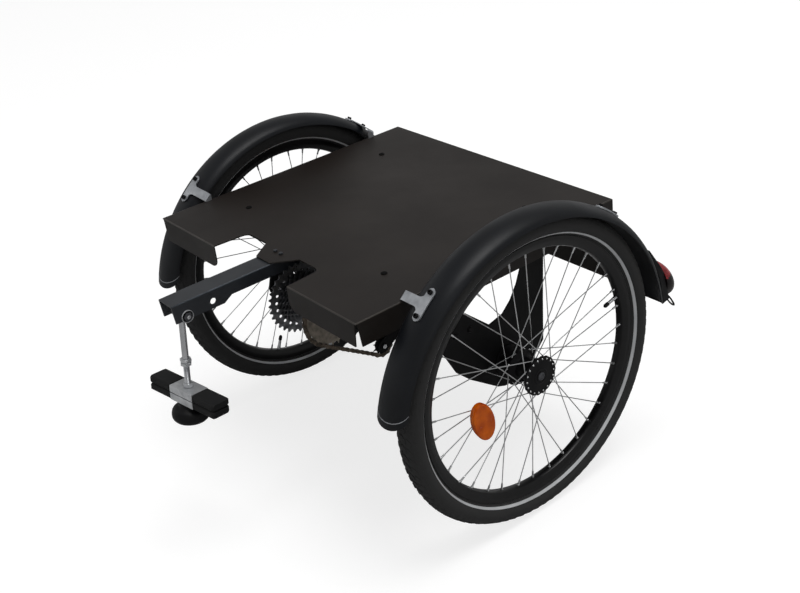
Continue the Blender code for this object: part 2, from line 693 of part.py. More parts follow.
# side plates
PLATE_OUT = DECK_HALF_W - SHEET - GAP
PLATE_IN = PLATE_OUT - PLATE_T
band_low = PLATE_TOP - PLATE_BAND
plate_outline = [(PLATE_REAR_TOP, PLATE_TOP), (PLATE_REAR_TOP, band_low), (PLATE_REAR_BOTTOM + 0.005, 0.083),
                 (PLATE_REAR_BOTTOM, 0.0)]
for step in range(6):
    angle = -math.pi / 9 - math.pi * step / 9
    stretch = PLATE_FOOT_STRETCH if angle > -math.pi / 2 else 1.0
    plate_outline.append((PLATE_FOOT * math.cos(angle) * stretch, PLATE_FOOT * math.sin(angle)))
plate_fronts = {"right": [(-0.092, -0.001), (-0.122, 0.028), (-0.145, 0.073)],
                "left": [(-0.052, -0.004), (-0.060, 0.036)]}
plate_end = [(PLATE_ARM_FRONT, band_low), (PLATE_ARM_FRONT, PLATE_TOP)]
window = [(PLATE_REAR_TOP - PLATE_STRIP_W, band_low), (0.035, 0.143), (0.018, 0.117), (-0.003, 0.098),
          (PLATE_ELBOW_Y, PLATE_ELBOW_Z), (-0.089, 0.137), (-0.104, 0.1505), (PLATE_ARM_REAR, band_low)]
plate_bolts = [(DOME_Y, DOME_Z), (CATCH_FRONT_Y, CATCH_Z), (CATCH_REAR_Y, CATCH_Z)]
for side, word in ((-1, "left"), (1, "right")):
    near, far = sorted((side * PLATE_IN, side * PLATE_OUT))
    cuts = [("DIFFERENCE", prism(window, "X", near - OVER, far + OVER)),
            ("DIFFERENCE", bore(BEARING_SPIGOT_R + GAP, "X", near, far))]
    for place in plate_bolts:
        head = (DOME_R, side * (PLATE_OUT + DOME_H), side * (PLATE_OUT - SINK))
        nut = (DOME_NUT_R, side * (PLATE_IN + SINK), side * (PLATE_IN - DOME_NUT_H))
        cuts.append(("UNION", bolt("X", place, head, DOME_SHANK_R, nut)))
    outline = plate_outline + plate_fronts[word] + plate_end
    node(f"{word}_side_plate", [prism(outline, "X", near, far)], base, PLATE_PAINT, cuts)
    face = PLATE_OUT + GAP
    spigot_end = PLATE_IN - BEARING_SPIGOT_LEN
    housing = [(AXLE_R + RUN_GAP, face + BEARING_FLANGE_T), (BEARING_SPIGOT_R, face + BEARING_FLANGE_T),
               (BEARING_R, face + BEARING_FLANGE_T * 0.5), (BEARING_R, face), (BEARING_SPIGOT_R, face),
               (BEARING_SPIGOT_R, spigot_end), (AXLE_R + RUN_GAP, spigot_end)]
    node(f"{word}_bearing_housing", [turned([(r, side * a) for r, a in housing], "X", 16)], base, BLACK_METAL)

# axle and wheels
node("axle", [disc(AXLE_R, "X", -AXLE_END, AXLE_END, count=16)], right_wheel, BRIGHT_STEEL)


def wheel(word, side, parent, valve_angle, reflector_angle):
    """Build one spoked wheel with its hub, tyre, valve and reflector."""
    middle = side * HALF_TRACK
    out_x = HUB_OUT
    in_x = -HUB_IN
    half = HUB_FLANGE_T / 2
    seat_r = AXLE_R + (GAP if side > 0 else RUN_GAP)
    web_r = SPOKE_CIRCLE_R - 2 * SPOKE_R - RUN_GAP
    inner_boss_r = HUB_BOSS_R + HUB_INNER_BOSS
    hub = [(seat_r, out_x + half + HUB_BOSS_LEN), (HUB_BOSS_R, out_x + half + HUB_BOSS_LEN),
           (HUB_BOSS_R, out_x + half), (HUB_FLANGE_R, out_x + half), (HUB_FLANGE_R, out_x - half),
           (web_r, out_x - half), (HUB_BARREL_R, out_x - half - HUB_SLOPE),
           (HUB_BARREL_R, in_x + half + HUB_SLOPE), (web_r, in_x + half), (HUB_FLANGE_R, in_x + half),
           (HUB_FLANGE_R, in_x - half), (inner_boss_r, in_x - half),
           (inner_boss_r, in_x - half - HUB_INNER_LEN), (seat_r, in_x - half - HUB_INNER_LEN)]
    node(f"{word}_hub", [turned([(r, middle + side * a) for r, a in hub], "X", 16)], parent, BLACK_METAL)
    rim_in = RIM_INNER_R / math.cos(math.pi / WHEEL_SIDES)
    rim = [(rim_in, -RIM_INNER_HALF_W), (RIM_OUTER_R, -RIM_HALF_W),
           (RIM_OUTER_R, -RIM_HALF_W + RIM_WALL), (RIM_SEAT_R, -RIM_HALF_W + RIM_WALL),
           (RIM_SEAT_R, RIM_HALF_W - RIM_WALL), (RIM_OUTER_R, RIM_HALF_W - RIM_WALL),
           (RIM_OUTER_R, RIM_HALF_W), (rim_in, RIM_INNER_HALF_W)]
    across = Vector((0.0, math.cos(valve_angle), math.sin(valve_angle)))
    turn = Matrix.Translation((middle, 0.0, 0.0)) @ across.to_track_quat("Z", "X").to_matrix().to_4x4()
    hole = moved(bore(VALVE_R + GAP, "Z", RIM_INNER_R, RIM_SEAT_R - OVER / 2, count=10), turn)
    node(f"{word}_rim", [turned([(r, middle + a) for r, a in rim], "X", WHEEL_SIDES)], parent, BLACK_METAL,
         [("DIFFERENCE", hole)])
    valve_end = RIM_SEAT_R * math.cos(math.pi / WHEEL_SIDES) - RUN_GAP
    valve_tip = RIM_INNER_R - VALVE_LEN + VALVE_CUT
    stem = [(0.0, valve_tip), (VALVE_R * 0.9, valve_tip + VALVE_CHAMFER),
            (VALVE_R, RIM_INNER_R - VALVE_FOOT), (VALVE_R, valve_end), (0.0, valve_end)]
    node(f"{word}_valve", [moved(solid_of_turns(stem, "Z", 10), turn)], parent, BLACK_METAL)
    bead_w = RIM_HALF_W - RIM_WALL - GAP
    mid_r = (TYRE_R + RIM_OUTER_R + GAP) / 2
    half_r = TYRE_R - mid_r
    tyre = [(RIM_SEAT_R + GAP, bead_w), (RIM_OUTER_R + GAP, bead_w)]
    for step in range(7):
        angle = -math.radians(48) + math.radians(276) * step / 6
        tyre.append((mid_r + half_r * math.sin(angle), TYRE_HALF_W * math.cos(angle)))
    tyre += [(RIM_OUTER_R + GAP, -bead_w), (RIM_SEAT_R + GAP, -bead_w)]
    node(f"{word}_tyre", [turned([(r, middle + a) for r, a in tyre], "X", WHEEL_SIDES)], parent, TYRE_RUBBER)
    offset = half + SPOKE_R + GAP + SPOKE_LACE
    spacing = math.pi / SPOKES_PER_FLANGE
    for flange, share, place_word in ((out_x, 0.0, "outer"), (in_x, 0.5, "inner")):
        laced = {1: [], -1: []}
        toward = -1 if flange > 0 else 1
        for k in range(SPOKES_PER_FLANGE):
            way = 1 if k % 2 == 0 else -1
            start = valve_angle + spacing * (0.5 + 2 * (k + share))
            end = start + way * 2 * SPOKE_CROSSINGS * spacing
            to_r = RIM_INNER_R - GAP - SPOKE_R / 2
            lace = side * way * SPOKE_LACE
            low = Vector((middle + side * (flange + toward * offset) + lace, SPOKE_CIRCLE_R * math.cos(start),
                          SPOKE_CIRCLE_R * math.sin(start)))
            high = Vector((middle - side * toward * NIPPLE_OFFSET + lace, to_r * math.cos(end),
                           to_r * math.sin(end)))
            run = (high - low).normalized()
            flat = run.cross(Vector((1.0, 0.0, 0.0))).normalized()
            across = flat.cross(run).normalized()
            corners = ring_of(3, SPOKE_CORNER, SPOKE_TWIST)
            laced[way].append(loft([[point + SPOKE_R * (across * a + flat * b) for a, b in corners]
                                    for point in (low, high)]))
        node(f"{word}_{place_word}_spokes", laced[1], parent, BRIGHT_STEEL, [("UNION", merged(laced[-1]))])
    oval = ring_of(16, 1.0)
    sections = []
    for depth, share in ((0.0, 0.96), (REFLECTOR_T * 0.6, 1.0), (REFLECTOR_T, 0.90)):
        sections.append([Vector((side * depth, a * REFLECTOR_W / 2 * share, b * REFLECTOR_LEN / 2 * share))
                         for a, b in oval])
    ends = []
    first = Vector((SPOKE_CIRCLE_R, 0.0))
    turn_by = 2 * SPOKE_CROSSINGS * spacing
    step_to = Vector((to_r * math.cos(turn_by), to_r * math.sin(turn_by))) - first
    for radius in (REFLECTOR_R - REFLECTOR_W / 2, REFLECTOR_R + REFLECTOR_W / 2):
        half_b = first.dot(step_to)
        square = step_to.dot(step_to)
        share = (math.sqrt(half_b * half_b - square * (first.dot(first) - radius * radius)) - half_b) / square
        ends.append((out_x - offset) * (1 - share) + NIPPLE_OFFSET * share)
    tilt = math.atan2(ends[0] - ends[1], REFLECTOR_W)
    stand = (ends[0] + ends[1]) / 2 + SPOKE_R * SPOKE_CORNER + SPOKE_LACE + GAP
    place = (Matrix.Translation((middle + side * stand, 0.0, 0.0))
             @ Matrix.Rotation(reflector_angle, 4, "X") @ Matrix.Translation((0.0, REFLECTOR_R, 0.0))
             @ Matrix.Rotation(side * tilt, 4, "Z"))
    node(f"{word}_reflector", [moved(loft(sections), place)], parent, AMBER)


wheel("right", 1, right_wheel, VALVE_ANGLE, REFLECTOR_ANGLE)
wheel("left", -1, left_wheel, FAR_VALVE_ANGLE, FAR_REFLECTOR_ANGLE)

# mudguards, their brackets and the rear lights


def round_front_end(shape, middle):
    """Turn back the front end's vertices towards the sides, so that it ends in a rounded tongue."""
    last = math.pi - GUARD_FRONT_ANGLE
    for vert in shape.verts:
        if abs(math.atan2(vert.co.z + GUARD_DROP, vert.co.y) - last) > 1e-3:
            continue
        share = min(1.0, abs(vert.co.x - middle) / GUARD_HALF_W)
        back = GUARD_TONGUE * (1 - math.sqrt(1 - share * share)) / GUARD_R
        arm = Matrix.Rotation(-back, 3, "X") @ Vector((0.0, vert.co.y, vert.co.z + GUARD_DROP))
        vert.co.y = arm.y
        vert.co.z = arm.z - GUARD_DROP


for side, word in ((-1, "left"), (1, "right")):
    middle = side * HALF_TRACK
    section = []
    for step in range(7):
        t = math.pi / 2 - math.pi * step / 6
        section.append((GUARD_R - GUARD_ROUND * (1 - math.cos(t)), middle + GUARD_HALF_W * math.sin(t)))
    for step in range(7):
        t = -math.pi / 2 + math.pi * step / 6
        section.append((GUARD_R - GUARD_T - (GUARD_ROUND - GUARD_T) * (1 - math.cos(t)),
                        middle + (GUARD_HALF_W - GUARD_T) * math.sin(t)))
    sweep = math.pi - GUARD_FRONT_ANGLE - GUARD_REAR_ANGLE
    guard = turned(section, "X", 22, (0.0, -GUARD_DROP), GUARD_REAR_ANGLE, sweep)
    round_front_end(guard, middle)
    guard_cuts = []
    for place_word, centre_angle in (("front", math.pi - FRONT_BRACKET_ANGLE), ("rear", REAR_BRACKET_ANGLE)):
        radial = Vector((0.0, math.cos(centre_angle), math.sin(centre_angle)))
        tangent = Vector((0.0, -math.sin(centre_angle), math.cos(centre_angle)))
        centre = Vector((0.0, 0.0, -GUARD_DROP))
        half_turn = BAR_LEN / 2 / GUARD_R
        low_r = GUARD_R + GAP
        high_r = low_r + BRACKET_T
        edge_in, edge_out = sorted((middle - side * BAR_W / 2, middle + side * BAR_W / 2))
        bar = turned([(low_r, edge_in), (high_r, edge_in), (high_r, edge_out), (low_r, edge_out)], "X", 6,
                     (0.0, -GUARD_DROP), centre_angle - half_turn, 2 * half_turn)
        mid_r = (low_r + high_r) / 2
        crown = centre + radial * mid_r
        along = tangent * (1 if centre_angle > math.pi / 2 else -1)
        stem_end = crown - radial * STEM_DROP
        lip_out = side * (DECK_HALF_W - TIP_OUT)
        lip_in = lip_out - side * STEM_T
        sections = []
        for across, middle_of in ((middle - side * (BAR_W / 2 - STEM_LAP), crown), (lip_in, stem_end)):
            here = Vector((across, middle_of.y, middle_of.z))
            sections.append([here + along * (a * STEM_W / 2) + radial * (b * STEM_T / 2)
                             for a, b in ((-1, -1), (1, -1), (1, 1), (-1, 1))])
        high = stem_end + radial * (STEM_T / 2 - LIP_EDGE) + along * (STEM_W / 2 - LIP_EDGE)
        low = stem_end + radial * (STEM_T / 2 - LIP_EDGE) - along * (STEM_W / 2 - LIP_EDGE)
        foot_z = DECK_TOP + GAP
        lip = prism([(high.y, high.z), (low.y, low.z), (low.y, foot_z), (high.y, foot_z)], "X",
                    *sorted((lip_in + side * LIP_EDGE, lip_out)))
        bracket_steps = [("UNION", loft(sections)), ("UNION", lip)]
        spread = BRACKET_BOLT_SPAN / 2 / GUARD_R
        for sign in (-1, 1):
            angle = centre_angle + sign * spread
            out = Vector((0.0, math.cos(angle), math.sin(angle)))
            frame_turn = (Matrix.Translation((middle, 0.0, -GUARD_DROP))
                          @ out.to_track_quat("Z", "X").to_matrix().to_4x4())
            screw_hole = bore(SCREW_R + GAP, "Z", GUARD_R - GUARD_T, GUARD_R, count=8)
            guard_cuts.append(("DIFFERENCE", moved(screw_hole, frame_turn)))
            shank_in = GUARD_R - GUARD_T - NUT_STAND
            screw = bolt("Z", (0.0, 0.0), (SCREW_HEAD_R, high_r + CAP_HEAD_H, high_r - SINK), SCREW_R,
                         (SCREW_HEAD_R, shank_in, shank_in - NUT_H))
            bracket_steps.append(("UNION", moved(screw, frame_turn)))
        node(f"{word}_{place_word}_bracket", [bar], base, ALUMINIUM, bracket_steps)
    node(f"{word}_mudguard", [guard], base, GUARD_PLASTIC, guard_cuts)

    normal = Vector((0.0, math.cos(LIGHT_ANGLE), math.sin(LIGHT_ANGLE)))
    down = Vector((0.0, math.sin(LIGHT_ANGLE), -math.cos(LIGHT_ANGLE)))
    spot = Vector((middle, 0.0, -GUARD_DROP)) + normal * GUARD_R

    def light_point(across, out, low, spot=spot, normal=normal, down=down):
        """Place a point by its sideways, outward and downward distance from the light's middle."""
        return spot + Vector((across, 0.0, 0.0)) + normal * out + down * low

    base_sections = []
    base_len = LIGHT_BASE_UP + LIGHT_BASE_DOWN
    for step in range(LIGHT_BASE_STEPS + 1):
        low = -LIGHT_BASE_UP + base_len * step / LIGHT_BASE_STEPS
        rise = min(1.0, LIGHT_BASE_TOP + LIGHT_BASE_RISE * step / LIGHT_BASE_STEPS)
        drop = low * low / 2 / GUARD_R
        seat = 2 * GAP - drop
        half = LIGHT_BASE_HALF_W * rise
        height = max(seat + LIGHT_BASE_LIP, LIGHT_BASE_T * rise)
        corners = ((-half, seat), (half, seat), (half, height), (-half, height))
        base_sections.append([light_point(across, out, low) for across, out in corners])
    lens_sections = []
    for share in LENS_STEPS:
        shrink = math.sqrt(1 - share * share)
        out = LIGHT_BASE_T + GAP + LENS_H * share
        low = LENS_SHIFT + LENS_DROOP * share
        lens_sections.append([light_point(a * LENS_HALF_W * shrink, out, low + b * LENS_HALF_LEN * shrink)
                              for a, b in ring_of(18, 1.0)])
    node(f"{word}_rear_light", [loft(lens_sections)], base, RED_LENS)
    top = light_point(0.0, LIGHT_BASE_T * 0.5, LIGHT_BASE_DOWN - 0.002)
    hook_points = [top + Vector((0.0, HOOK_OUT * k / 2, -HOOK_FALL * k / 2)) for k in range(3)]
    loop_top = hook_points[-1]
    for k in range(1, 12):
        turn = 2 * math.pi * k / 12
        hook_points.append(loop_top + Vector((-side * HOOK_HALF_W * math.sin(turn),
                                              HOOK_BACK * (1 - math.cos(turn)) / 2,
                                              -HOOK_LEN * (1 - math.cos(turn)) / 2)))
    node(f"{word}_light_base", [loft(base_sections)], base, BLACK_METAL,
         [("UNION", wire(hook_points, HOOK_R, 5, Vector((0.0, HOOK_LEN, HOOK_BACK))))])

# chain drive


def belt_lines(circles):
    """Return each straight run's direction and length between circles (y, z, radius, sense)."""
    runs = []
    for k, (ay, az, ar, a) in enumerate(circles):
        by, bz, br, b = circles[(k + 1) % len(circles)]
        reach = math.hypot(by - ay, bz - az)
        aim = math.atan2(bz - az, by - ay)
        offset = b * br - a * ar
        runs.append((aim - math.asin(offset / reach), math.sqrt(reach * reach - offset * offset)))
    return runs


def wraps(circles, runs):
    """Return each circle's wrap as (entry direction, swept angle)."""
    found = []
    for k, circle in enumerate(circles):
        entry = runs[k - 1][0]
        leave = runs[k][0]
        swept = (leave - entry) % (2 * math.pi) if circle[3] > 0 else (entry - leave) % (2 * math.pi)
        found.append((entry, swept))
    return found


WRAP_ORDER = ("output", "tension", "guide", "driven")


def drive_circles(cage_angle):
    """Return the chain's circles for one angle of the tensioner's cage."""
    tension = (GUIDE_Y - CAGE_LEN * math.cos(cage_angle), GUIDE_Z - CAGE_LEN * math.sin(cage_angle))
    return [(JACK_Y, JACK_Z, pitch_radius(OUTPUT_TEETH), 1), (*tension, pitch_radius(PULLEY_TEETH), 1),
            (GUIDE_Y, GUIDE_Z, pitch_radius(PULLEY_TEETH), -1), (0.0, 0.0, pitch_radius(DRIVEN_TEETH), 1)]


def chain_length(circles):
    """Return the length of the chain round the circles."""
    runs = belt_lines(circles)
    total = sum(run[1] for run in runs)
    return total + sum(circle[2] * wrap[1] for circle, wrap in zip(circles, wraps(circles, runs)))


low_angle = CAGE_ANGLE - math.radians(35)
high_angle = CAGE_ANGLE + math.radians(35)
nominal = chain_length(drive_circles(CAGE_ANGLE))
links = CHAIN_LINKS + 2 * round((nominal / PITCH - CHAIN_LINKS) / 2)
for step in range(50):
    middle_angle = (low_angle + high_angle) / 2
    if chain_length(drive_circles(middle_angle)) < links * PITCH:
        low_angle = middle_angle
    else:
        high_angle = middle_angle
cage_angle = (low_angle + high_angle) / 2
circles = drive_circles(cage_angle)
TENSION_Y = circles[1][0]
TENSION_Z = circles[1][1]
runs = belt_lines(circles)
turns = wraps(circles, runs)


def chain_point(distance, offset=0.0):
    """Return the chain's place at a distance along it, moved outwards by an offset."""
    left = distance
    for (y, z, radius, sense), (entry, swept), run in zip(circles, turns, runs):
        arc = radius * swept
        if left <= arc:
            direction = entry + sense * left / radius
            beyond = 0.0
        elif left <= arc + run[1]:
            direction = entry + sense * swept
            beyond = left - arc
        else:
            left -= arc + run[1]
            continue
        away = (math.sin(direction), -math.cos(direction))
        reach = sense * radius
        return (y + away[0] * (reach + offset) + beyond * math.cos(direction),
                z + away[1] * (reach + offset) + beyond * math.sin(direction))
    return chain_point(0.0, offset)


total = sum(run[1] for run in runs) + sum(c[2] * t[1] for c, t in zip(circles, turns))
stations = []
travelled = 0.0
for (y, z, radius, sense), (entry, swept), run in zip(circles, turns, runs):
    count = max(3, round(swept / math.radians(19)))
    stations += [travelled + radius * swept * k / count for k in range(count + 1)]
    travelled += radius * swept + run[1]
band_parts = []
for side in (-1, 1):
    near, far = sorted((OUTPUT_X + side * CHAIN_INNER, OUTPUT_X + side * (CHAIN_INNER + CHAIN_PLATE)))
    band = bmesh.new()
    rings = []
    for s in stations:
        inner = chain_point(s, -CHAIN_HALF_H)
        outer = chain_point(s, CHAIN_HALF_H)
        corners = ((near, *inner), (far, *inner), (far, *outer), (near, *outer))
        rings.append([band.verts.new(Vector(p)) for p in corners])
    for here, there in zip(rings, rings[1:] + rings[:1]):
        for k in range(4):
            n = (k + 1) % 4
            band.faces.new((here[k], here[n], there[n], there[k]))
    band_parts.append(band)
rollers = []
for k in range(links):
    y, z = chain_point((k + 0.5) * total / links)
    meets = any(math.hypot(y - c[0], z - c[1]) < c[2] + ROLLER_R for c in circles)
    if not meets and k % 3:
        continue
    rollers.append(disc(ROLLER_R, "X", OUTPUT_X - CHAIN_INNER - SINK, OUTPUT_X + CHAIN_INNER + SINK, (y, z), 5))
node("chain", band_parts, base, CHAIN_STEEL, [("UNION", merged(rollers))])


def gap_angle(wheel_name):
    """Return the angle on a named circle where a roller sits nearest its wrap's middle."""
    index = WRAP_ORDER.index(wheel_name)
    begin = 0.0
    for k in range(index):
        begin += circles[k][2] * turns[k][1] + runs[k][1]
    y, z, radius, sense = circles[index]
    middle_s = begin + radius * turns[index][1] / 2
    spacing = total / links
    nearest = (round(middle_s / spacing - 0.5) + 0.5) * spacing
    py, pz = chain_point(nearest)
    return math.atan2(pz - z, py - y)


output = sprocket(OUTPUT_TEETH, OUTPUT_X, gap_angle("output"), SPROCKET_T)
driven = sprocket(DRIVEN_TEETH, OUTPUT_X, gap_angle("driven"), SPROCKET_T)
for name, parent, plate, radius, seat in (("output_sprocket", jackshaft, output, BOSS_R, JACK_R),
                                          ("driven_sprocket", right_wheel, driven, DRIVEN_BOSS_R, AXLE_R)):
    far = OUTPUT_X + SPROCKET_T / 2 + BOSS_LEN
    node(name, [plate], parent, SPROCKET_STEEL,
         [("UNION", disc(radius, "X", OUTPUT_X, far)),
          ("DIFFERENCE", bore(seat + GAP, "X", OUTPUT_X, far))])

shaft = [(0.0, JACK_FROM), (JACK_R, JACK_FROM), (JACK_R, JACK_TO), (0.0, JACK_TO)]
node("jackshaft", [solid_of_turns(shaft, "X", 16)], jackshaft, BRIGHT_STEEL)
CASSETTE_END = CASSETTE_X + COG_STEP * (len(COG_TEETH) - 1) + SPROCKET_T / 2
lip_r = FREEHUB_R + FREEHUB_LIP
lip_end = FREEHUB_FROM + FREEHUB_LIP
freehub = [(JACK_R + RUN_GAP, FREEHUB_FROM), (lip_r, FREEHUB_FROM), (lip_r, lip_end), (FREEHUB_R, lip_end),
           (FREEHUB_R, CASSETTE_END + FREEHUB_LOCK), (JACK_R + RUN_GAP, CASSETTE_END + FREEHUB_LOCK)]
node("freehub", [turned(freehub, "X", 16)], jackshaft, BLACK_METAL)
cogs = []
for k, teeth in enumerate(COG_TEETH):
    at = CASSETTE_X + COG_STEP * k
    radius = pitch_radius(teeth)
    outline = teeth_outline(teeth, radius - ROLLER_R, radius + TOOTH_TIP, 0.5, 0.0)
    half = SPROCKET_T / 2
    cogs.append(prism(outline, "X", at - half, at + half))
sleeve = disc(FREEHUB_R + SPACER_WALL, "X", CASSETTE_X - SPROCKET_T / 2, CASSETTE_END + SINK)
node("cassette", cogs, jackshaft, BRIGHT_STEEL,
     [("UNION", sleeve), ("DIFFERENCE", bore(FREEHUB_R + GAP, "X", CASSETTE_X, CASSETTE_END))])

# hangers that carry the jackshaft from the deck's underside
HANGER_TOP = SHEET_LOW - GAP
for word, at, lean in (("left", HANGER_LEFT_X, -1), ("right", HANGER_RIGHT_X, 1)):
    near, far = sorted((at, at + lean * HANGER_T))
    outline = [(HANGER_MID + HANGER_HALF_LEN, HANGER_TOP), (HANGER_MID - HANGER_HALF_LEN, HANGER_TOP)]
    for step in range(9):
        angle = math.pi - math.pi * step / 8
        outline.append((JACK_Y + HANGER_EYE_R * math.cos(angle), JACK_Z - HANGER_EYE_R * math.sin(angle)))
    flange_near, flange_far = sorted((at, at + lean * HANGER_FLANGE))
    steps = [("UNION", box((flange_near, HANGER_MID - HANGER_HALF_LEN, HANGER_TOP - HANGER_T),
                           (flange_far, HANGER_MID + HANGER_HALF_LEN, HANGER_TOP)))]
    if word == "right":
        arm_aim = Vector((GUIDE_Y - JACK_Y, GUIDE_Z - JACK_Z)).normalized()
        arm_side = Vector((-arm_aim.y, arm_aim.x))
        arm_shape = []
        strap_len = math.hypot(GUIDE_Y - JACK_Y, GUIDE_Z - JACK_Z)
        for along, wide in ((0.0, STRAP_ROOT_HALF_W), (strap_len, STRAP_END_R)):
            spot = Vector((JACK_Y, JACK_Z)) + arm_aim * along
            arm_shape.append((spot + arm_side * wide, spot - arm_side * wide))
        strap = [arm_shape[0][0], arm_shape[0][1], arm_shape[1][1]]
        for step in range(1, 6):
            angle = math.pi * step / 6
            strap.append(Vector((GUIDE_Y, GUIDE_Z)) - arm_side * STRAP_END_R * math.cos(angle)
                         + arm_aim * STRAP_END_R * math.sin(angle))
        strap.append(arm_shape[1][0])
        steps.append(("UNION", prism([(p.x, p.y) for p in strap], "X", near, far)))
        steps.append(("DIFFERENCE", bore(PULLEY_PIN_R + GAP, "X", near, far, (GUIDE_Y, GUIDE_Z), 10)))
    steps.append(("DIFFERENCE", bore(JACK_BEARING_R + GAP, "X", near, far, (JACK_Y, JACK_Z), 20)))
    node(f"{word}_hanger", [prism(outline, "X", near, far)], base, PLATE_PAINT, steps)
    low = near - JACK_BEARING_STAND
    high = far + JACK_BEARING_STAND
    bearing = [(JACK_R + RUN_GAP, low), (JACK_BEARING_R, low), (JACK_BEARING_R, high), (JACK_R + RUN_GAP, high)]
    node(f"{word}_jack_bearing", [turned(bearing, "X", 20, (JACK_Y, JACK_Z))], base, BRIGHT_STEEL)

# tensioner: a cage that swings about the guide pulley's axis and carries the tension pulley
tension_place = (0.0, TENSION_Y - GUIDE_Y, TENSION_Z - GUIDE_Z)
tension = empty("tension_pulley_axis", guide, tension_place)
aim = Vector((TENSION_Y - GUIDE_Y, TENSION_Z - GUIDE_Z)).normalized()
side_way = Vector((-aim.y, aim.x))
cage_outline = []
for step in range(9):
    angle = math.pi * step / 8
    cage_outline.append(side_way * CAGE_R * math.cos(angle) - aim * CAGE_R * math.sin(angle))
for step in range(9):
    angle = math.pi * step / 8
    cage_outline.append(aim * CAGE_LEN - side_way * CAGE_R * math.cos(angle) + aim * CAGE_R * math.sin(angle))
for name, side in (("inner_cage_plate", -1), ("outer_cage_plate", 1)):
    near, far = sorted((OUTPUT_X + side * CAGE_HALF_GAP, OUTPUT_X + side * (CAGE_HALF_GAP + CAGE_T)))
    steps = []
    for centre in ((0.0, 0.0), (tension_place[1], tension_place[2])):
        steps.append(("DIFFERENCE", bore(PULLEY_PIN_R + GAP, "X", near, far, centre, 10)))
    node(name, [prism([(p.x, p.y) for p in cage_outline], "X", near, far)], guide, BLACK_METAL, steps)


def pin(centre, far_end):
    """Turn a headed pulley pin through both cage plates."""
    low = OUTPUT_X - CAGE_HALF_GAP - CAGE_T - GAP
    profile = [(0.0, low - PIN_HEAD_H), (PIN_HEAD_R, low - PIN_HEAD_H), (PIN_HEAD_R, low), (PULLEY_PIN_R, low),
               (PULLEY_PIN_R, far_end), (PIN_HEAD_R, far_end), (PIN_HEAD_R, far_end + PIN_HEAD_H),
               (0.0, far_end + PIN_HEAD_H)]
    return solid_of_turns(profile, "X", 10, centre)


outer_face = OUTPUT_X + CAGE_HALF_GAP + CAGE_T
node("tension_pin", [pin((tension_place[1], tension_place[2]), outer_face + GAP)], guide, BRIGHT_STEEL)
knuckle = disc(KNUCKLE_R, "X", outer_face + GAP, HANGER_RIGHT_X - GAP, (GUIDE_Y, GUIDE_Z))
node("cage_pivot", [pin((GUIDE_Y, GUIDE_Z), HANGER_RIGHT_X + HANGER_T + GAP)], base, BLACK_METAL,
     [("UNION", knuckle)])
for name, parent in (("guide", guide), ("tension", tension)):
    pulley = sprocket(PULLEY_TEETH, OUTPUT_X, gap_angle(name), SPROCKET_T)
    node(f"{name}_pulley", [pulley], parent, KNOB_PLASTIC,
         [("DIFFERENCE", bore(PULLEY_PIN_R + RUN_GAP, "X", OUTPUT_X, OUTPUT_X, count=10))])

# the origin lies under the middle of the whole, between the knob's front and the hooks' ends
knob_middle = CLAMP_START + 2 * JAW_H + 2 * GAP + KNOB_WIDEST
front = PIVOT_Y - math.sin(ROD_LEAN) * knob_middle - KNOB_R * math.cos(ROD_LEAN)
rear = max(point.y for point in hook_points) + HOOK_R
base.location.y = -(front + rear) / 2
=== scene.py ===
import json
import logging
import math
from collections.abc import Callable, Iterable, Sequence
from dataclasses import dataclass
from enum import Enum

import bmesh
import bpy
from mathutils import Matrix, Vector


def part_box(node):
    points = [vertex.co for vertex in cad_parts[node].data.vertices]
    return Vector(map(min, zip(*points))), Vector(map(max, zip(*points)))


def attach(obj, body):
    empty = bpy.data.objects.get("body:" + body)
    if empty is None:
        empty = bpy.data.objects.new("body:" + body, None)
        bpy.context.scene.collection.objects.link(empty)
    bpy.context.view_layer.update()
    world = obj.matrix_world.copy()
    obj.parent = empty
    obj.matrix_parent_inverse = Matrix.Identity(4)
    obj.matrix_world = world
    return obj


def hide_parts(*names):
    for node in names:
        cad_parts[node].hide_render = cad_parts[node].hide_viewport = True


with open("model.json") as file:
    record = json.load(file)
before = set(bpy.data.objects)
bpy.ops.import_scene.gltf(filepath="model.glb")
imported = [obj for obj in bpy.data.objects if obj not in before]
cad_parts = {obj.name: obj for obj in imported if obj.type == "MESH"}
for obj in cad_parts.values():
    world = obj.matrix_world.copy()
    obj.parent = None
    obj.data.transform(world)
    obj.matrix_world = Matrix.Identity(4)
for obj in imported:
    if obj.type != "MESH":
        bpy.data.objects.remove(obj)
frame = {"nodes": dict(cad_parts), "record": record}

log = logging.getLogger("trailer")
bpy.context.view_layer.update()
JOINTS = {joint["name"]: joint for joint in frame["record"]["behaviour"]["joints"]}
Pair = tuple[float, float]
MM = 0.001
WHITE = (1.0, 1.0, 1.0, 1.0)


class Body(str, Enum):
    """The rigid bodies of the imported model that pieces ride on."""

    FRAME = "trailer_frame"
    DRIVE = "drive_axle"
    LEFT = "left_wheel"
    JACK = "jack_assembly"
    COGS = "cog_stack"
    CAGE = "tensioner"
    UPPER_PULLEY = "upper_pulley"
    LOWER_PULLEY = "lower_pulley"
    ROD = "hanging_rod"
    UPPER_JAW = "upper_jaw"
    LOWER_JAW = "lower_jaw"
    KNOB = "clamp_knob"


class Grain(Enum):
    """How a surface was made, which decides the pattern in its material."""

    POWDER = "sprayed and baked powder"
    MOULDED = "moulded with a spark-eroded texture"
    ROLLED = "rolled or drawn metal with fine lines"
    PRISM = "clear plastic over moulded prisms"
    TREAD = "vulcanised rubber with fine rings"


def joint_at(name: str) -> Vector:
    """Return a joint's point in the row frame.

    Args:
        name: the joint's name in the record.

    Returns:
        The point that the record states for it.
    """
    return Vector(JOINTS[name]["pos_m"])


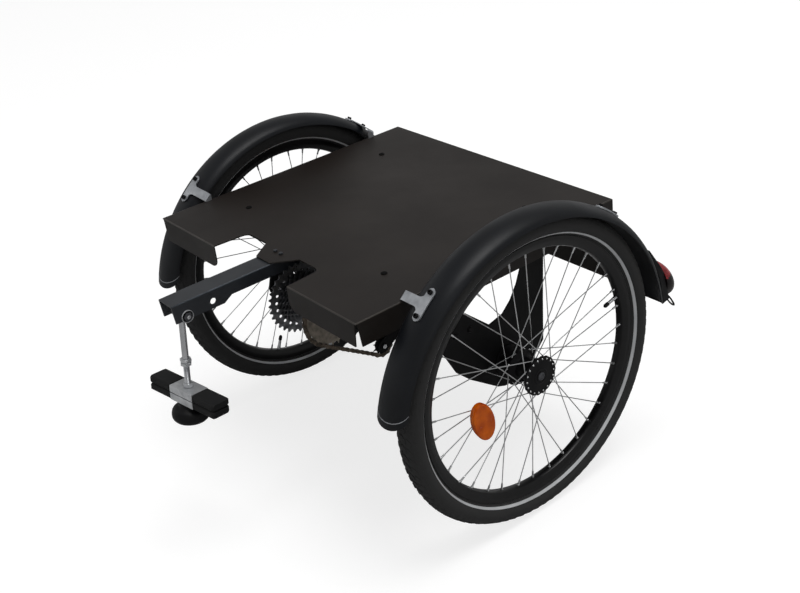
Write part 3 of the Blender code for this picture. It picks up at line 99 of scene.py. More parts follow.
AXLE = joint_at("right_wheel_spin")
JACK = joint_at("jackshaft_spin")
GUIDE = joint_at("upper_pulley_spin")
TENSION = joint_at("lower_pulley_spin")
PIVOT = joint_at("rod_swing")
DOWN_ROD = Vector(JOINTS["clamp_swivel"]["axis"]).normalized()


def linear(code: str) -> tuple[float, float, float, float]:
    """Turn an sRGB hex colour to linear light.

    Args:
        code: six hex digits after a hash.

    Returns:
        Red, green, blue and an alpha of 1.
    """
    parts = [int(code[k:k + 2], 16) / 255 for k in (1, 3, 5)]
    red, green, blue = (p / 12.92 if p <= 0.04045 else ((p + 0.055) / 1.055) ** 2.4 for p in parts)
    return (red, green, blue, 1.0)


def add(tree: bpy.types.NodeTree, kind: str, feeds: dict | None = None, **settings: object) -> bpy.types.Node:
    """Add one node with its settings and what feeds its sockets.

    Args:
        tree: the node tree.
        kind: the node's type name.
        feeds: socket (name or number) to a value, or to the socket linked to it.
        settings: attributes of the node itself.

    Returns:
        The new node.
    """
    made = tree.nodes.new(kind)
    for key, value in settings.items():
        setattr(made, key, value)
    for socket, value in (feeds or {}).items():
        if isinstance(value, bpy.types.NodeSocket):
            tree.links.new(value, made.inputs[socket])
        else:
            made.inputs[socket].default_value = value
    return made


def linked(name: str, data: bpy.types.ID) -> bpy.types.Object:
    """Make an object and link it to the scene.

    Args:
        name: its name.
        data: its mesh, curve, lamp or camera.

    Returns:
        The object.
    """
    made = bpy.data.objects.new(name, data)
    bpy.context.scene.collection.objects.link(made)
    return made


def cleared(owner: bpy.types.Material | bpy.types.World) -> bpy.types.NodeTree:
    """Return the empty node tree of a new material or world.

    Args:
        owner: the material or world.

    Returns:
        Its tree.
    """
    owner.use_nodes = True
    owner.node_tree.nodes.clear()
    return owner.node_tree


@dataclass(frozen=True)
class Finish:
    """One finish: a real material, its two shades and its surface pattern in millimetres."""

    name: str
    colour: str
    shade: str
    roughness: float
    spread: float = 0.06
    metallic: float = 0.0
    grain: Grain = Grain.POWDER
    grain_mm: float = 1.0
    height_mm: float = 0.03
    blotch_mm: float = 60.0
    stretch: tuple[float, float, float] = (1.0, 1.0, 1.0)
    specular: float = 0.5

    def material(self) -> bpy.types.Material:
        """Build the material, or return it if it is built already."""
        known = bpy.data.materials.get(self.name)
        if known:
            return known
        made = bpy.data.materials.new(self.name)
        tree = cleared(made)
        where = add(tree, "ShaderNodeTexCoord").outputs["Object"]
        centred = add(tree, "ShaderNodeMapping", {"Vector": where, "Location": -AXLE,
                                                  "Scale": self.stretch}).outputs[0]
        blotch = add(tree, "ShaderNodeTexNoise", {"Vector": centred, "Scale": 1 / (self.blotch_mm * MM),
                                                  "Detail": 4.0}).outputs["Fac"]
        share = add(tree, "ShaderNodeMapRange", {"Value": blotch, "From Min": 0.32, "From Max": 0.68}).outputs[0]
        colour = add(tree, "ShaderNodeMix", {"Factor": share, "A": linear(self.colour), "B": linear(self.shade)},
                     data_type="RGBA").outputs["Result"]
        height = self.height(tree, centred)
        rough = add(tree, "ShaderNodeMapRange", {"Value": blotch, "From Min": 0.3, "From Max": 0.7,
                                                 "To Min": self.roughness - self.spread,
                                                 "To Max": self.roughness + self.spread}).outputs[0]
        bump = add(tree, "ShaderNodeBump", {"Height": height, "Distance": self.height_mm * MM,
                                            "Strength": 0.8}).outputs[0]
        feeds = {"Base Color": colour, "Roughness": rough, "Normal": bump, "Metallic": self.metallic,
                 "Specular IOR Level": self.specular}
        shader = add(tree, "ShaderNodeBsdfPrincipled", feeds)
        add(tree, "ShaderNodeOutputMaterial", {"Surface": shader.outputs[0]})
        return made

    def height(self, tree: bpy.types.NodeTree, where: bpy.types.NodeSocket) -> bpy.types.NodeSocket:
        """Add the fine pattern that the bump follows.

        Args:
            tree: the material's tree.
            where: the coordinates, in metres from the axle.

        Returns:
            The socket that gives the height, from 0 to 1.
        """
        scale = 1 / (self.grain_mm * MM)
        if self.grain is Grain.PRISM:
            return add(tree, "ShaderNodeTexVoronoi", {"Vector": where, "Scale": scale, "Randomness": 0.0},
                       feature="F1").outputs["Distance"]
        fine = add(tree, "ShaderNodeTexNoise", {"Vector": where, "Scale": scale, "Detail": 2.0}).outputs["Fac"]
        if self.grain is Grain.TREAD:
            flat = add(tree, "ShaderNodeVectorMath", {0: where, 1: (0.0, 1.0, 1.0)}, operation="MULTIPLY").outputs[0]
            radius = add(tree, "ShaderNodeVectorMath", {0: flat}, operation="LENGTH").outputs["Value"]
            rings = add(tree, "ShaderNodeMath", {0: radius, 1: math.tau / (3.0 * MM)}, operation="MULTIPLY")
            wave = add(tree, "ShaderNodeMath", {0: rings.outputs[0]}, operation="SINE").outputs[0]
            return add(tree, "ShaderNodeMath", {0: wave, 1: fine}, operation="ADD").outputs[0]
        if self.grain is Grain.MOULDED:
            cells = add(tree, "ShaderNodeTexVoronoi", {"Vector": where, "Scale": scale}, feature="SMOOTH_F1")
            return add(tree, "ShaderNodeMath", {0: cells.outputs["Distance"], 1: fine}, operation="ADD").outputs[0]
        return fine


# polyester powder coat: baked powder leaves a fine orange peel and a soft, wide gleam
DECK_PAINT = Finish("powder_coat_brown_black", "#1B1511", "#17120F", 0.50, grain_mm=1.6, height_mm=0.05,
                    blotch_mm=180, specular=0.29)
# the same coat rubbed smooth on the folds, lighter there: rubbed paint with a painted highlight along the fold lines
DECK_RUB_AND_HIGHLIGHT = Finish("powder_coat_rubbed", "#37322D", "#2A2622", 0.34, grain_mm=1.6, height_mm=0.02, blotch_mm=30)
# the channel's enamel where straps and hands have polished it, lighter there: rubbed paint with a painted highlight
# along the long folds
ARM_RUB_AND_HIGHLIGHT = Finish("enamel_rubbed", "#3E444C", "#2C3138", 0.30, grain_mm=2.0, height_mm=0.02, blotch_mm=25)
# wet enamel on a folded channel: smoother and a little blue
ARM_PAINT = Finish("enamel_blue_black", "#20242A", "#1A1D22", 0.36, grain_mm=2.5, height_mm=0.03)
# powder coat on laser-cut plate: dull, so that only its edges catch the light
PLATE_PAINT = Finish("powder_coat_dark_grey", "#0F0F10", "#0B0B0C", 0.55, grain_mm=1.4, height_mm=0.05, specular=0.15)
# polycarbonate mudguard: a glossy skin over a faint moulded ripple
GUARD_SKIN = Finish("polycarbonate_black", "#0E1116", "#090B0F", 0.46, grain=Grain.MOULDED, grain_mm=3.0,
                    height_mm=0.02, blotch_mm=90, specular=0.25)
# natural rubber tyre: matt, with fine rings from the mould and a little dust
TYRE_RUBBER = Finish("tyre_rubber", "#040405", "#060607", 0.80, grain=Grain.TREAD, grain_mm=1.5, height_mm=0.12,
                     specular=0.04)
# glass-bead reflective tape on the tyre's wall
STRIPE = Finish("glass_bead_tape", "#D2D4D6", "#BCBEC0", 0.50, grain_mm=0.8)
# anodised aluminium rim
RIM_ALLOY = Finish("anodised_aluminium_black", "#0A0A0B", "#101011", 0.32, metallic=0.3, grain=Grain.ROLLED,
                   grain_mm=0.8, height_mm=0.01, specular=0.4)
# stainless spokes and nickelled nipples
SPOKE_STEEL = Finish("stainless_spoke_wire", "#D0D1D2", "#BDBEBF", 0.28, metallic=1.0, grain=Grain.ROLLED,
                     grain_mm=0.6, height_mm=0.005)
# black oxide on small steel parts, with a trace of oil
BLACK_METAL = Finish("black_oxide_steel", "#08080A", "#0B0B0D", 0.46, grain_mm=0.8, height_mm=0.02, specular=0.14)
# zinc electroplate: bright, with pale blotches
ZINC = Finish("zinc_electroplate", "#DDDFE1", "#C2C4C7", 0.38, metallic=0.85, grain=Grain.ROLLED, grain_mm=0.7,
              height_mm=0.012, blotch_mm=14, spread=0.1)
# ground and polished shaft steel
BRIGHT = Finish("bright_drawn_steel", "#CFD0D2", "#B4B5B8", 0.24, metallic=1.0, grain=Grain.ROLLED, grain_mm=0.5,
                height_mm=0.008, stretch=(0.15, 1.0, 1.0))
# tumbled aluminium strip, a soft grey
STRAP = Finish("tumbled_aluminium", "#B9BCC0", "#9DA0A4", 0.42, metallic=0.8, grain_mm=0.9, height_mm=0.03,
               blotch_mm=20, spread=0.08)
# plated sprocket steel, brownish from oil
SPROCKET = Finish("oiled_plated_steel", "#948D82", "#726C63", 0.44, metallic=0.9, grain=Grain.ROLLED, grain_mm=0.8,
                  height_mm=0.02, blotch_mm=12, spread=0.1)
# browned chain steel with oil on it
CHAIN = Finish("oiled_chain_steel", "#6A6156", "#453F38", 0.38, metallic=0.9, grain_mm=0.6, height_mm=0.02,
               blotch_mm=6, spread=0.1)
# nickelled cassette cogs
COG = Finish("nickelled_steel", "#7E7F82", "#606164", 0.36, metallic=1.0, grain=Grain.ROLLED, grain_mm=0.6,
             height_mm=0.01, blotch_mm=10, spread=0.1)
# acrylic reflector over moulded cube corners
AMBER = Finish("acrylic_amber", "#EC7000", "#C04A00", 0.22, grain=Grain.PRISM, grain_mm=2.2, height_mm=0.3,
               blotch_mm=25, specular=0.22)
# acrylic lens over ribs, unlit: the red acrylic painted near black as painted shade on the lens's lower part
LENS = Finish("acrylic_dark_red", "#100203", "#080102", 0.34, grain=Grain.PRISM, grain_mm=3.0, height_mm=0.1,
              blotch_mm=22, specular=0.1)
# the lens's upper edge: the same red acrylic painted bright red as painted light, where light comes through
LIT_PAINTED_LENS = Finish("acrylic_red", "#A8101C", "#6E0810", 0.25, grain=Grain.PRISM, grain_mm=3.0, height_mm=0.1,
                  blotch_mm=22, specular=0.3)
# nuts and axle ends, their plating gone dull
AXLE_STEEL = Finish("dulled_bolt_steel", "#55565A", "#3C3D40", 0.38, metallic=0.7, grain_mm=0.6, height_mm=0.01,
                    blotch_mm=6)
# glass-filled nylon knob and pulleys
NYLON = Finish("glass_filled_nylon", "#08080A", "#0C0C0E", 0.50, grain=Grain.MOULDED, grain_mm=0.9, height_mm=0.05,
               specular=0.18)
# soft rubber plugs in the deck's holes: the darkest spots on the deck
PLUG_RUBBER = Finish("plug_rubber", "#050505", "#080808", 0.80, grain_mm=0.8, height_mm=0.02, specular=0.1)
# moulded rubber sleeves
SLEEVE = Finish("moulded_rubber", "#0A0B0C", "#0F1011", 0.60, grain=Grain.MOULDED, grain_mm=1.1, height_mm=0.05,
                specular=0.25)


def polar(radius: float, angle: float) -> Pair:
    """Turn polar places into plane ones.

    Args:
        radius: the distance from the middle.
        angle: the turn in radians.

    Returns:
        The two coordinates.
    """
    return radius * math.cos(angle), radius * math.sin(angle)


def outward(angle: float) -> Vector:
    """Return the unit vector at an angle in the YZ plane.

    Args:
        angle: the turn from +Y towards +Z.

    Returns:
        The direction.
    """
    return Vector((0.0, *polar(1.0, angle)))


def cartesian(axis_at: Vector, along: float, radius: float, angle: float) -> Vector:
    """Return a point from its place round an axis parallel to X.

    Args:
        axis_at: a point of the axis.
        along: the distance along X from that point.
        radius: the distance from the axis.
        angle: the angle in the YZ plane, from +Y towards +Z.

    Returns:
        The point in the row frame.
    """
    return axis_at + Vector((along, *polar(radius, angle)))


def skin(shape: bmesh.types.BMesh, rows: Sequence[Sequence[bmesh.types.BMVert]], ring_of_rows: bool = False) -> None:
    """Join rows of vertices with quads, each row being a loop.

    Args:
        shape: the shape that has the vertices.
        rows: the loops in order.
        ring_of_rows: whether the last loop joins the first.
    """
    for here, there in zip(rows, rows[1:] + rows[:1] if ring_of_rows else rows[1:]):
        for k in range(len(here)):
            n = (k + 1) % len(here)
            shape.faces.new((here[k], here[n], there[n], there[k]))


def cap(shape: bmesh.types.BMesh, rows: Sequence[Sequence[bmesh.types.BMVert]]) -> None:
    """Close the first and the last of a shape's rows.

    Args:
        shape: the shape.
        rows: its loops of vertices.
    """
    shape.faces.new(list(reversed(rows[0])))
    shape.faces.new(rows[-1])


def lathe(profile: Sequence[Pair], count: int, place: Matrix | None = None, closed: bool = True) -> bmesh.types.BMesh:
    """Turn a profile of (radius, along) round the local Z axis.

    Args:
        profile: the profile's points.
        count: how many steps one turn has.
        place: where the shape goes.
        closed: whether the last point joins the first.

    Returns:
        The turned shape.
    """
    shape = bmesh.new()
    rings = []
    for step in range(count):
        rings.append([shape.verts.new((*polar(r, math.tau * step / count), a)) for r, a in profile])
    spans = len(profile) if closed else len(profile) - 1
    for here, there in zip(rings, rings[1:] + rings[:1]):
        for k in range(spans):
            n = (k + 1) % len(profile)
            shape.faces.new((here[k], here[n], there[n], there[k]))
    bmesh.ops.remove_doubles(shape, verts=shape.verts, dist=1e-7)
    bmesh.ops.dissolve_degenerate(shape, edges=shape.edges, dist=1e-7)
    bmesh.ops.transform(shape, matrix=place or Matrix(), verts=shape.verts)
    return shape


def loft(sections: Sequence[Sequence[Vector]]) -> bmesh.types.BMesh:
    """Skin equally long closed sections and cap both ends.

    Args:
        sections: the sections in order.

    Returns:
        The closed shape.
    """
    shape = bmesh.new()
    rows = [[shape.verts.new(point) for point in section] for section in sections]
    skin(shape, rows)
    shape.faces.new(rows[0])
    shape.faces.new(list(reversed(rows[-1])))
    return shape


def slab(outline: Sequence[Pair], low: float, high: float, place: Matrix | None = None,
         rim: float = 0.0) -> bmesh.types.BMesh:
    """Extrude an outline along local Z and round its rims.

    Args:
        outline: the corners in local X and Y.
        low: the bottom's height.
        high: the top's height.
        place: where the shape goes.
        rim: the size of the rims' rounding.

    Returns:
        The slab.
    """
    shape = bmesh.new()
    face = shape.faces.new([shape.verts.new((a, b, low)) for a, b in outline])
    lifted = bmesh.ops.extrude_face_region(shape, geom=[face])
    tops = [part for part in lifted["geom"] if isinstance(part, bmesh.types.BMVert)]
    bmesh.ops.translate(shape, verts=tops, vec=(0.0, 0.0, high - low))
    if rim:
        rims = [edge for edge in shape.edges if abs(edge.verts[0].co.z - edge.verts[1].co.z) < 1e-9]
        bmesh.ops.bevel(shape, geom=rims, offset=rim, segments=2, profile=0.5, affect="EDGES")
    bmesh.ops.transform(shape, matrix=place or Matrix(), verts=shape.verts)
    return shape


def tube(path: Sequence[Vector], radius: float, sides: int = 8, ends: Sequence[float] = ()) -> bmesh.types.BMesh:
    """Sweep a round section along a path.

    Args:
        path: the path's points.
        radius: the section's radius.
        sides: how many sides it has.
        ends: a radius for each point, in place of the one radius.

    Returns:
        The tube.
    """
    sections = []
    side = (path[1] - path[0]).orthogonal().normalized()
    for k, point in enumerate(path):
        run = (path[min(k + 1, len(path) - 1)] - path[max(k - 1, 0)]).normalized()
        side = (side - run * side.dot(run)).normalized()
        other = run.cross(side)
        size = ends[k] if ends else radius
        sections.append([point + size * (side * math.cos(t) + other * math.sin(t))
                         for t in (math.tau * s / sides for s in range(sides))])
    return loft(sections)


def softened(node: str, width: float, strong: Callable[[bmesh.types.BMEdge], bool] | None = None,
             strong_width: float = 0.0, limit: float = 42.0, rub_and_highlight: int = -1) -> bmesh.types.BMesh:
    """Copy a CAD node's shape and round its edges.

    Args:
        node: the CAD node's name.
        width: the rounding of all edges.
        strong: picks the edges that get more.
        strong_width: the rounding of those edges.
        limit: the angle in degrees from which an edge counts.
        rub_and_highlight: the material index that the rounded edges get, whose finish is rubbed paint lightened as a
            painted highlight, or -1 for their neighbours' own.

    Returns:
        The rounded copy.
    """
    shape = bmesh.new()
    shape.from_mesh(frame["nodes"][node].data)
    bmesh.ops.remove_doubles(shape, verts=shape.verts, dist=1e-5)
    bmesh.ops.dissolve_limit(shape, angle_limit=math.radians(0.6), verts=shape.verts, edges=shape.edges)
    sharp = math.radians(limit)
    for size, test in ((strong_width, strong), (width, None)):
        if not size:
            continue
        picked = [edge for edge in shape.edges if len(edge.link_faces) == 2 and edge.calc_face_angle(0.0) > sharp
                  and (test is None or test(edge))]
        bmesh.ops.bevel(shape, geom=picked, offset=size, segments=3 if test else 2, profile=0.5, affect="EDGES",
                        clamp_overlap=True, material=rub_and_highlight)
    return shape


def gathered(shapes: Iterable[bmesh.types.BMesh]) -> bmesh.types.BMesh:
    """Put shapes into one.

    Args:
        shapes: the shapes, which are used up.

    Returns:
        One shape that holds them all.
    """
    whole = bmesh.new()
    carrier = bpy.data.meshes.new("carrier")
    for shape in shapes:
        shape.to_mesh(carrier)
        whole.from_mesh(carrier)
        shape.free()
    bpy.data.meshes.remove(carrier)
    return whole


def piece(name: str, shapes: Iterable[bmesh.types.BMesh], finish: Finish, body: Body,
          stands_for: Sequence[str] = (), smooth: float = 34.0, second: Finish | None = None) -> bpy.types.Object:
    """Join shapes to one finished piece that rides on a body.

    Args:
        name: the piece's name.
        shapes: its shapes, which are used up.
        finish: what it is made of.
        body: the body that it rides on.
        stands_for: the CAD nodes that it replaces.
        smooth: the angle in degrees below which edges are smooth.
        second: the finish of the faces that have material index 1.

    Returns:
        The finished object.
    """
    shapes = list(shapes)
    for shape in shapes:
        bmesh.ops.recalc_face_normals(shape, faces=shape.faces)
    whole = gathered(shapes)
    mesh = bpy.data.meshes.new(name)
    whole.to_mesh(mesh)
    whole.free()
    for kind in (finish, second):
        if kind:
            mesh.materials.append(kind.material())
    return settle(name, mesh, body, stands_for, smooth)


def flat_kept(mesh: bpy.types.Mesh) -> bpy.types.Mesh:
    """Turn each corner's shading towards its larger faces, so that big flat faces stay flat.

    Args:
        mesh: a smooth mesh whose sharp edges are marked.

    Returns:
        The same shape with such normals.
    """
    carrier = linked("carrier", mesh)
    weight = carrier.modifiers.new("weight", "WEIGHTED_NORMAL")
    weight.keep_sharp = True
    weight.weight = 80
    view = bpy.context.evaluated_depsgraph_get()
    baked = bpy.data.meshes.new_from_object(carrier.evaluated_get(view), preserve_all_data_layers=True,
                                            depsgraph=view)
    name = mesh.name
    bpy.data.objects.remove(carrier)
    bpy.data.meshes.remove(mesh)
    baked.name = name
    return baked


def settle(name: str, mesh: bpy.types.Mesh, body: Body, stands_for: Sequence[str], smooth: float) -> bpy.types.Object:
    """Link a finished mesh, set it riding and log it.

    Args:
        name: the piece's name.
        mesh: its mesh, in the row frame.
        body: the body that it rides on.
        stands_for: the CAD nodes that it replaces.
        smooth: the angle in degrees below which edges are smooth.

    Returns:
        The object.
    """
    mesh.shade_smooth()
    mesh.set_sharp_from_angle(angle=math.radians(smooth))
    mesh = flat_kept(mesh)
    made = linked(name, mesh)
    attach(made, body.value)
    if stands_for:
        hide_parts(*stands_for)
    log.info("%s: %d faces on %s", name, len(mesh.polygons), body.value)
    return made


class Repeat:
    """Geometry Nodes that repeat a shape round an axis or along a chain's path."""

    @staticmethod
    def tree(name: str, sockets: Sequence[tuple[str, str]]) -> tuple[bpy.types.NodeTree, bpy.types.Node]:
        """Start a node group with named inputs.

        Args:
            name: the group's name.
            sockets: each input's name and socket type, after the geometry.

        Returns:
            The tree and its input node.
        """
        group = bpy.data.node_groups.new(name, "GeometryNodeTree")
        group.interface.new_socket("Geometry", in_out="INPUT", socket_type="NodeSocketGeometry")
        group.interface.new_socket("Geometry", in_out="OUTPUT", socket_type="NodeSocketGeometry")
        for label, kind in sockets:
            group.interface.new_socket(label, in_out="INPUT", socket_type=kind)
        return group, add(group, "NodeGroupInput")

    @staticmethod
    def close(group: bpy.types.NodeTree, shape: bpy.types.NodeSocket) -> None:
        """End a tree by realizing the copies.

        Args:
            group: the tree.
            shape: the instances.
        """
        real = add(group, "GeometryNodeRealizeInstances", {"Geometry": shape}).outputs[0]
        add(group, "NodeGroupOutput", {"Geometry": real})

    @staticmethod
    def run(name: str, shape: bmesh.types.BMesh, finish: Finish, group: bpy.types.NodeTree,
            values: dict[str, object]) -> bpy.types.Mesh:
        """Run a tree on a shape and keep the result as a plain mesh.

        Args:
            name: the result's name.
            shape: the shape to repeat, which is used up.
            finish: what the copies are made of.
            group: the tree.
            values: each input's value by its identifier.

        Returns:
            The plain mesh.
        """
        bmesh.ops.recalc_face_normals(shape, faces=shape.faces)
        seed = bpy.data.meshes.new(f"{name}_seed")
        shape.to_mesh(seed)
        shape.free()
        seed.materials.append(finish.material())
        holder = linked(f"{name}_seed", seed)
        step = holder.modifiers.new("repeat", "NODES")
        step.node_group = group
        for key, value in values.items():
            step[key] = value
        bpy.context.view_layer.update()
        result = bpy.data.meshes.new_from_object(holder.evaluated_get(bpy.context.evaluated_depsgraph_get()))
        result.name = name
        holder.modifiers.remove(step)
        bpy.data.objects.remove(holder, do_unlink=True)
        return result

    @classmethod
    def round_axis(cls, name: str, shape: bmesh.types.BMesh, centre: Vector, copies: int,
                   finish: Finish) -> bpy.types.Mesh:
        """Repeat a shape evenly round an axis parallel to X.

        Args:
            name: the mesh's name.
            shape: the shape, with the axis through the local origin.
            centre: a point of the axis.
            copies: how many copies one turn has.
            finish: what the copies are made of.

        Returns:
            The mesh in the row frame.
        """
        known = bpy.data.node_groups.get("copies_round_axis")
        if known is None:
            known, start = cls.tree("copies_round_axis", (("Copies", "NodeSocketInt"), ("Turn", "NodeSocketFloat")))
            line = add(known, "GeometryNodeMeshLine", {"Count": start.outputs["Copies"], "Offset": (0.0, 0.0, 0.0)})
            index = add(known, "GeometryNodeInputIndex").outputs[0]
            angle = add(known, "ShaderNodeMath", {0: index, 1: start.outputs["Turn"]}, operation="MULTIPLY").outputs[0]
            turn = add(known, "ShaderNodeCombineXYZ", {"X": angle}).outputs[0]
            many = add(known, "GeometryNodeInstanceOnPoints", {"Points": line.outputs[0], "Rotation": turn,
                                                              "Instance": start.outputs["Geometry"]})
            cls.close(known, many.outputs[0])
        ids = {item.name: item.identifier for item in known.interface.items_tree if item.in_out == "INPUT"}
        mesh = cls.run(name, shape, finish, known, {ids["Copies"]: copies, ids["Turn"]: math.tau / copies})
        mesh.transform(Matrix.Translation(centre))
        return mesh

    @classmethod
    def on_path(cls, name: str, shape: bmesh.types.BMesh, path: Sequence[Vector], links: int, parity: int,
                finish: Finish) -> bpy.types.Mesh:
        """Repeat a link on every second place of a closed path in the YZ plane.

        Args:
            name: the mesh's name.
            shape: the link, running along local Y.
            path: the closed path's points.
            links: how many places the path has.
            parity: 0 or 1, which places are taken.
            finish: what the links are made of.

        Returns:
            The mesh in the row frame.
        """
        known = bpy.data.node_groups.get("links_on_path")
        if known is None:
            known, start = cls.tree("links_on_path", (("Path", "NodeSocketObject"), ("Links", "NodeSocketInt"),
                                                      ("Parity", "NodeSocketInt")))
            line = add(known, "GeometryNodeObjectInfo", {"Object": start.outputs["Path"]}).outputs["Geometry"]
            feeds = {"Curve": line, "Count": start.outputs["Links"]}
            spread = add(known, "GeometryNodeResampleCurve", feeds).outputs[0]
            index = add(known, "GeometryNodeInputIndex").outputs[0]
            odd = add(known, "ShaderNodeMath", {0: index, 1: 2.0}, operation="MODULO").outputs[0]
            taken = add(known, "ShaderNodeMath", {0: odd, 1: start.outputs["Parity"], 2: 0.5}, operation="COMPARE")
            tangent = add(known, "GeometryNodeInputTangent").outputs[0]
            turn = add(known, "FunctionNodeAlignRotationToVector", {"Vector": tangent}, axis="Y", pivot_axis="X")
            many = add(known, "GeometryNodeInstanceOnPoints", {"Points": spread, "Selection": taken.outputs[0],
                                                              "Instance": start.outputs["Geometry"],
                                                              "Rotation": turn.outputs[0]})
            cls.close(known, many.outputs[0])
        curve = bpy.data.curves.new(f"{name}_path", "CURVE")
        curve.dimensions = "3D"
        spline = curve.splines.new("POLY")
        spline.points.add(len(path) - 1)
        for point, spot in zip(spline.points, path):
            point.co = (*spot, 1.0)
        spline.use_cyclic_u = True
        guide = linked(f"{name}_path", curve)
        ids = {item.name: item.identifier for item in known.interface.items_tree if item.in_out == "INPUT"}
        mesh = cls.run(name, shape, finish, known, {ids["Path"]: guide, ids["Links"]: links, ids["Parity"]: parity})
        bpy.data.objects.remove(guide, do_unlink=True)
        return mesh


def joined(name: str, meshes: Sequence[bpy.types.Mesh]) -> bpy.types.Mesh:
    """Join meshes of one finish.

    Args:
        name: the result's name.
        meshes: the meshes.

    Returns:
        One mesh with the first one's material.
    """
    whole = bmesh.new()
    for mesh in meshes:
        whole.from_mesh(mesh)
    made = bpy.data.meshes.new(name)
    whole.to_mesh(made)
    whole.free()
    made.materials.append(meshes[0].materials[0])
    return made


def ring(count: int, radius: float, start: float = 0.0) -> list[Pair]:
    """Return a regular polygon's corners.

    Args:
        count: how many.
        radius: their distance from the middle.
        start: the first one's angle.

    Returns:
        The corners.
    """
    return [polar(radius, start + math.tau * k / count) for k in range(count)]


def along_x(at: Vector, way: float = 1.0) -> Matrix:
    """Return the matrix that lays local Z along X at a point.

    Args:
        at: the point.
        way: 1 for +X and -1 for -X.

    Returns:
        The matrix, with local X along Y.
    """
    turned = Matrix(((0.0, 0.0, way), (1.0, 0.0, 0.0), (0.0, way, 0.0))).to_4x4()
    return Matrix.Translation(at) @ turned


def hexagonal(flat: float, angle: float) -> float:
    """Return how far a hexagon's side is from its middle.

    Args:
        flat: half its width across flats.
        angle: the direction in radians.

    Returns:
        The distance in that direction.
    """
    return flat / math.cos((angle + math.pi / 6) % (math.pi / 3) - math.pi / 6)


def cap_screw(place: Matrix, head_r: float, head_h: float, recess: float) -> bmesh.types.BMesh:
    """Build a round screw head with a hexagon recess.

    Args:
        place: the head's seat, with local Z out of it.
        head_r: the head's radius.
        head_h: its height.
        recess: half the recess's width across flats.

    Returns:
        The head.
    """
    count = 24
    levels = [(head_r, 0.0), (head_r, head_h * 0.82), (head_r * 0.93, head_h), (recess * 1.28, head_h)]
    shape = bmesh.new()
    rows = [[shape.verts.new((a, b, z)) for a, b in ring(count, r)] for r, z in levels]
    turns = [math.tau * k / count for k in range(count)]
    for z in (head_h, head_h * 0.4):
        rows.append([shape.verts.new((*polar(hexagonal(recess, turn), turn), z)) for turn in turns])
    skin(shape, rows)
    cap(shape, rows)
    bmesh.ops.transform(shape, matrix=place, verts=shape.verts)
    return shape


def hexagon(place: Matrix, flat: float, height: float, hole: float = 0.0) -> bmesh.types.BMesh:
    """Build a chamfered hexagon nut or head.

    Args:
        place: its seat, with local Z out of it.
        flat: half its width across flats.
        height: its height.
        hole: the hole's radius, 0 for a head.

    Returns:
        The nut.
    """
    count = 36
    turns = [math.tau * k / count for k in range(count)]
    levels = [(0.0, 0.96), (height * 0.1, 1.16), (height * 0.9, 1.16), (height, 0.96)]
    shape = bmesh.new()
    rows = []
    for z, share in levels:
        rows.append([shape.verts.new((*polar(min(hexagonal(flat, turn), flat * share), turn), z)) for turn in turns])
    if hole:
        for z in (height, 0.0):
            rows.append([shape.verts.new((a, b, z)) for a, b in ring(count, hole)])
        rows.append(rows[0])
    skin(shape, rows)
    if not hole:
        cap(shape, rows)
    bmesh.ops.transform(shape, matrix=place, verts=shape.verts)
    return shape


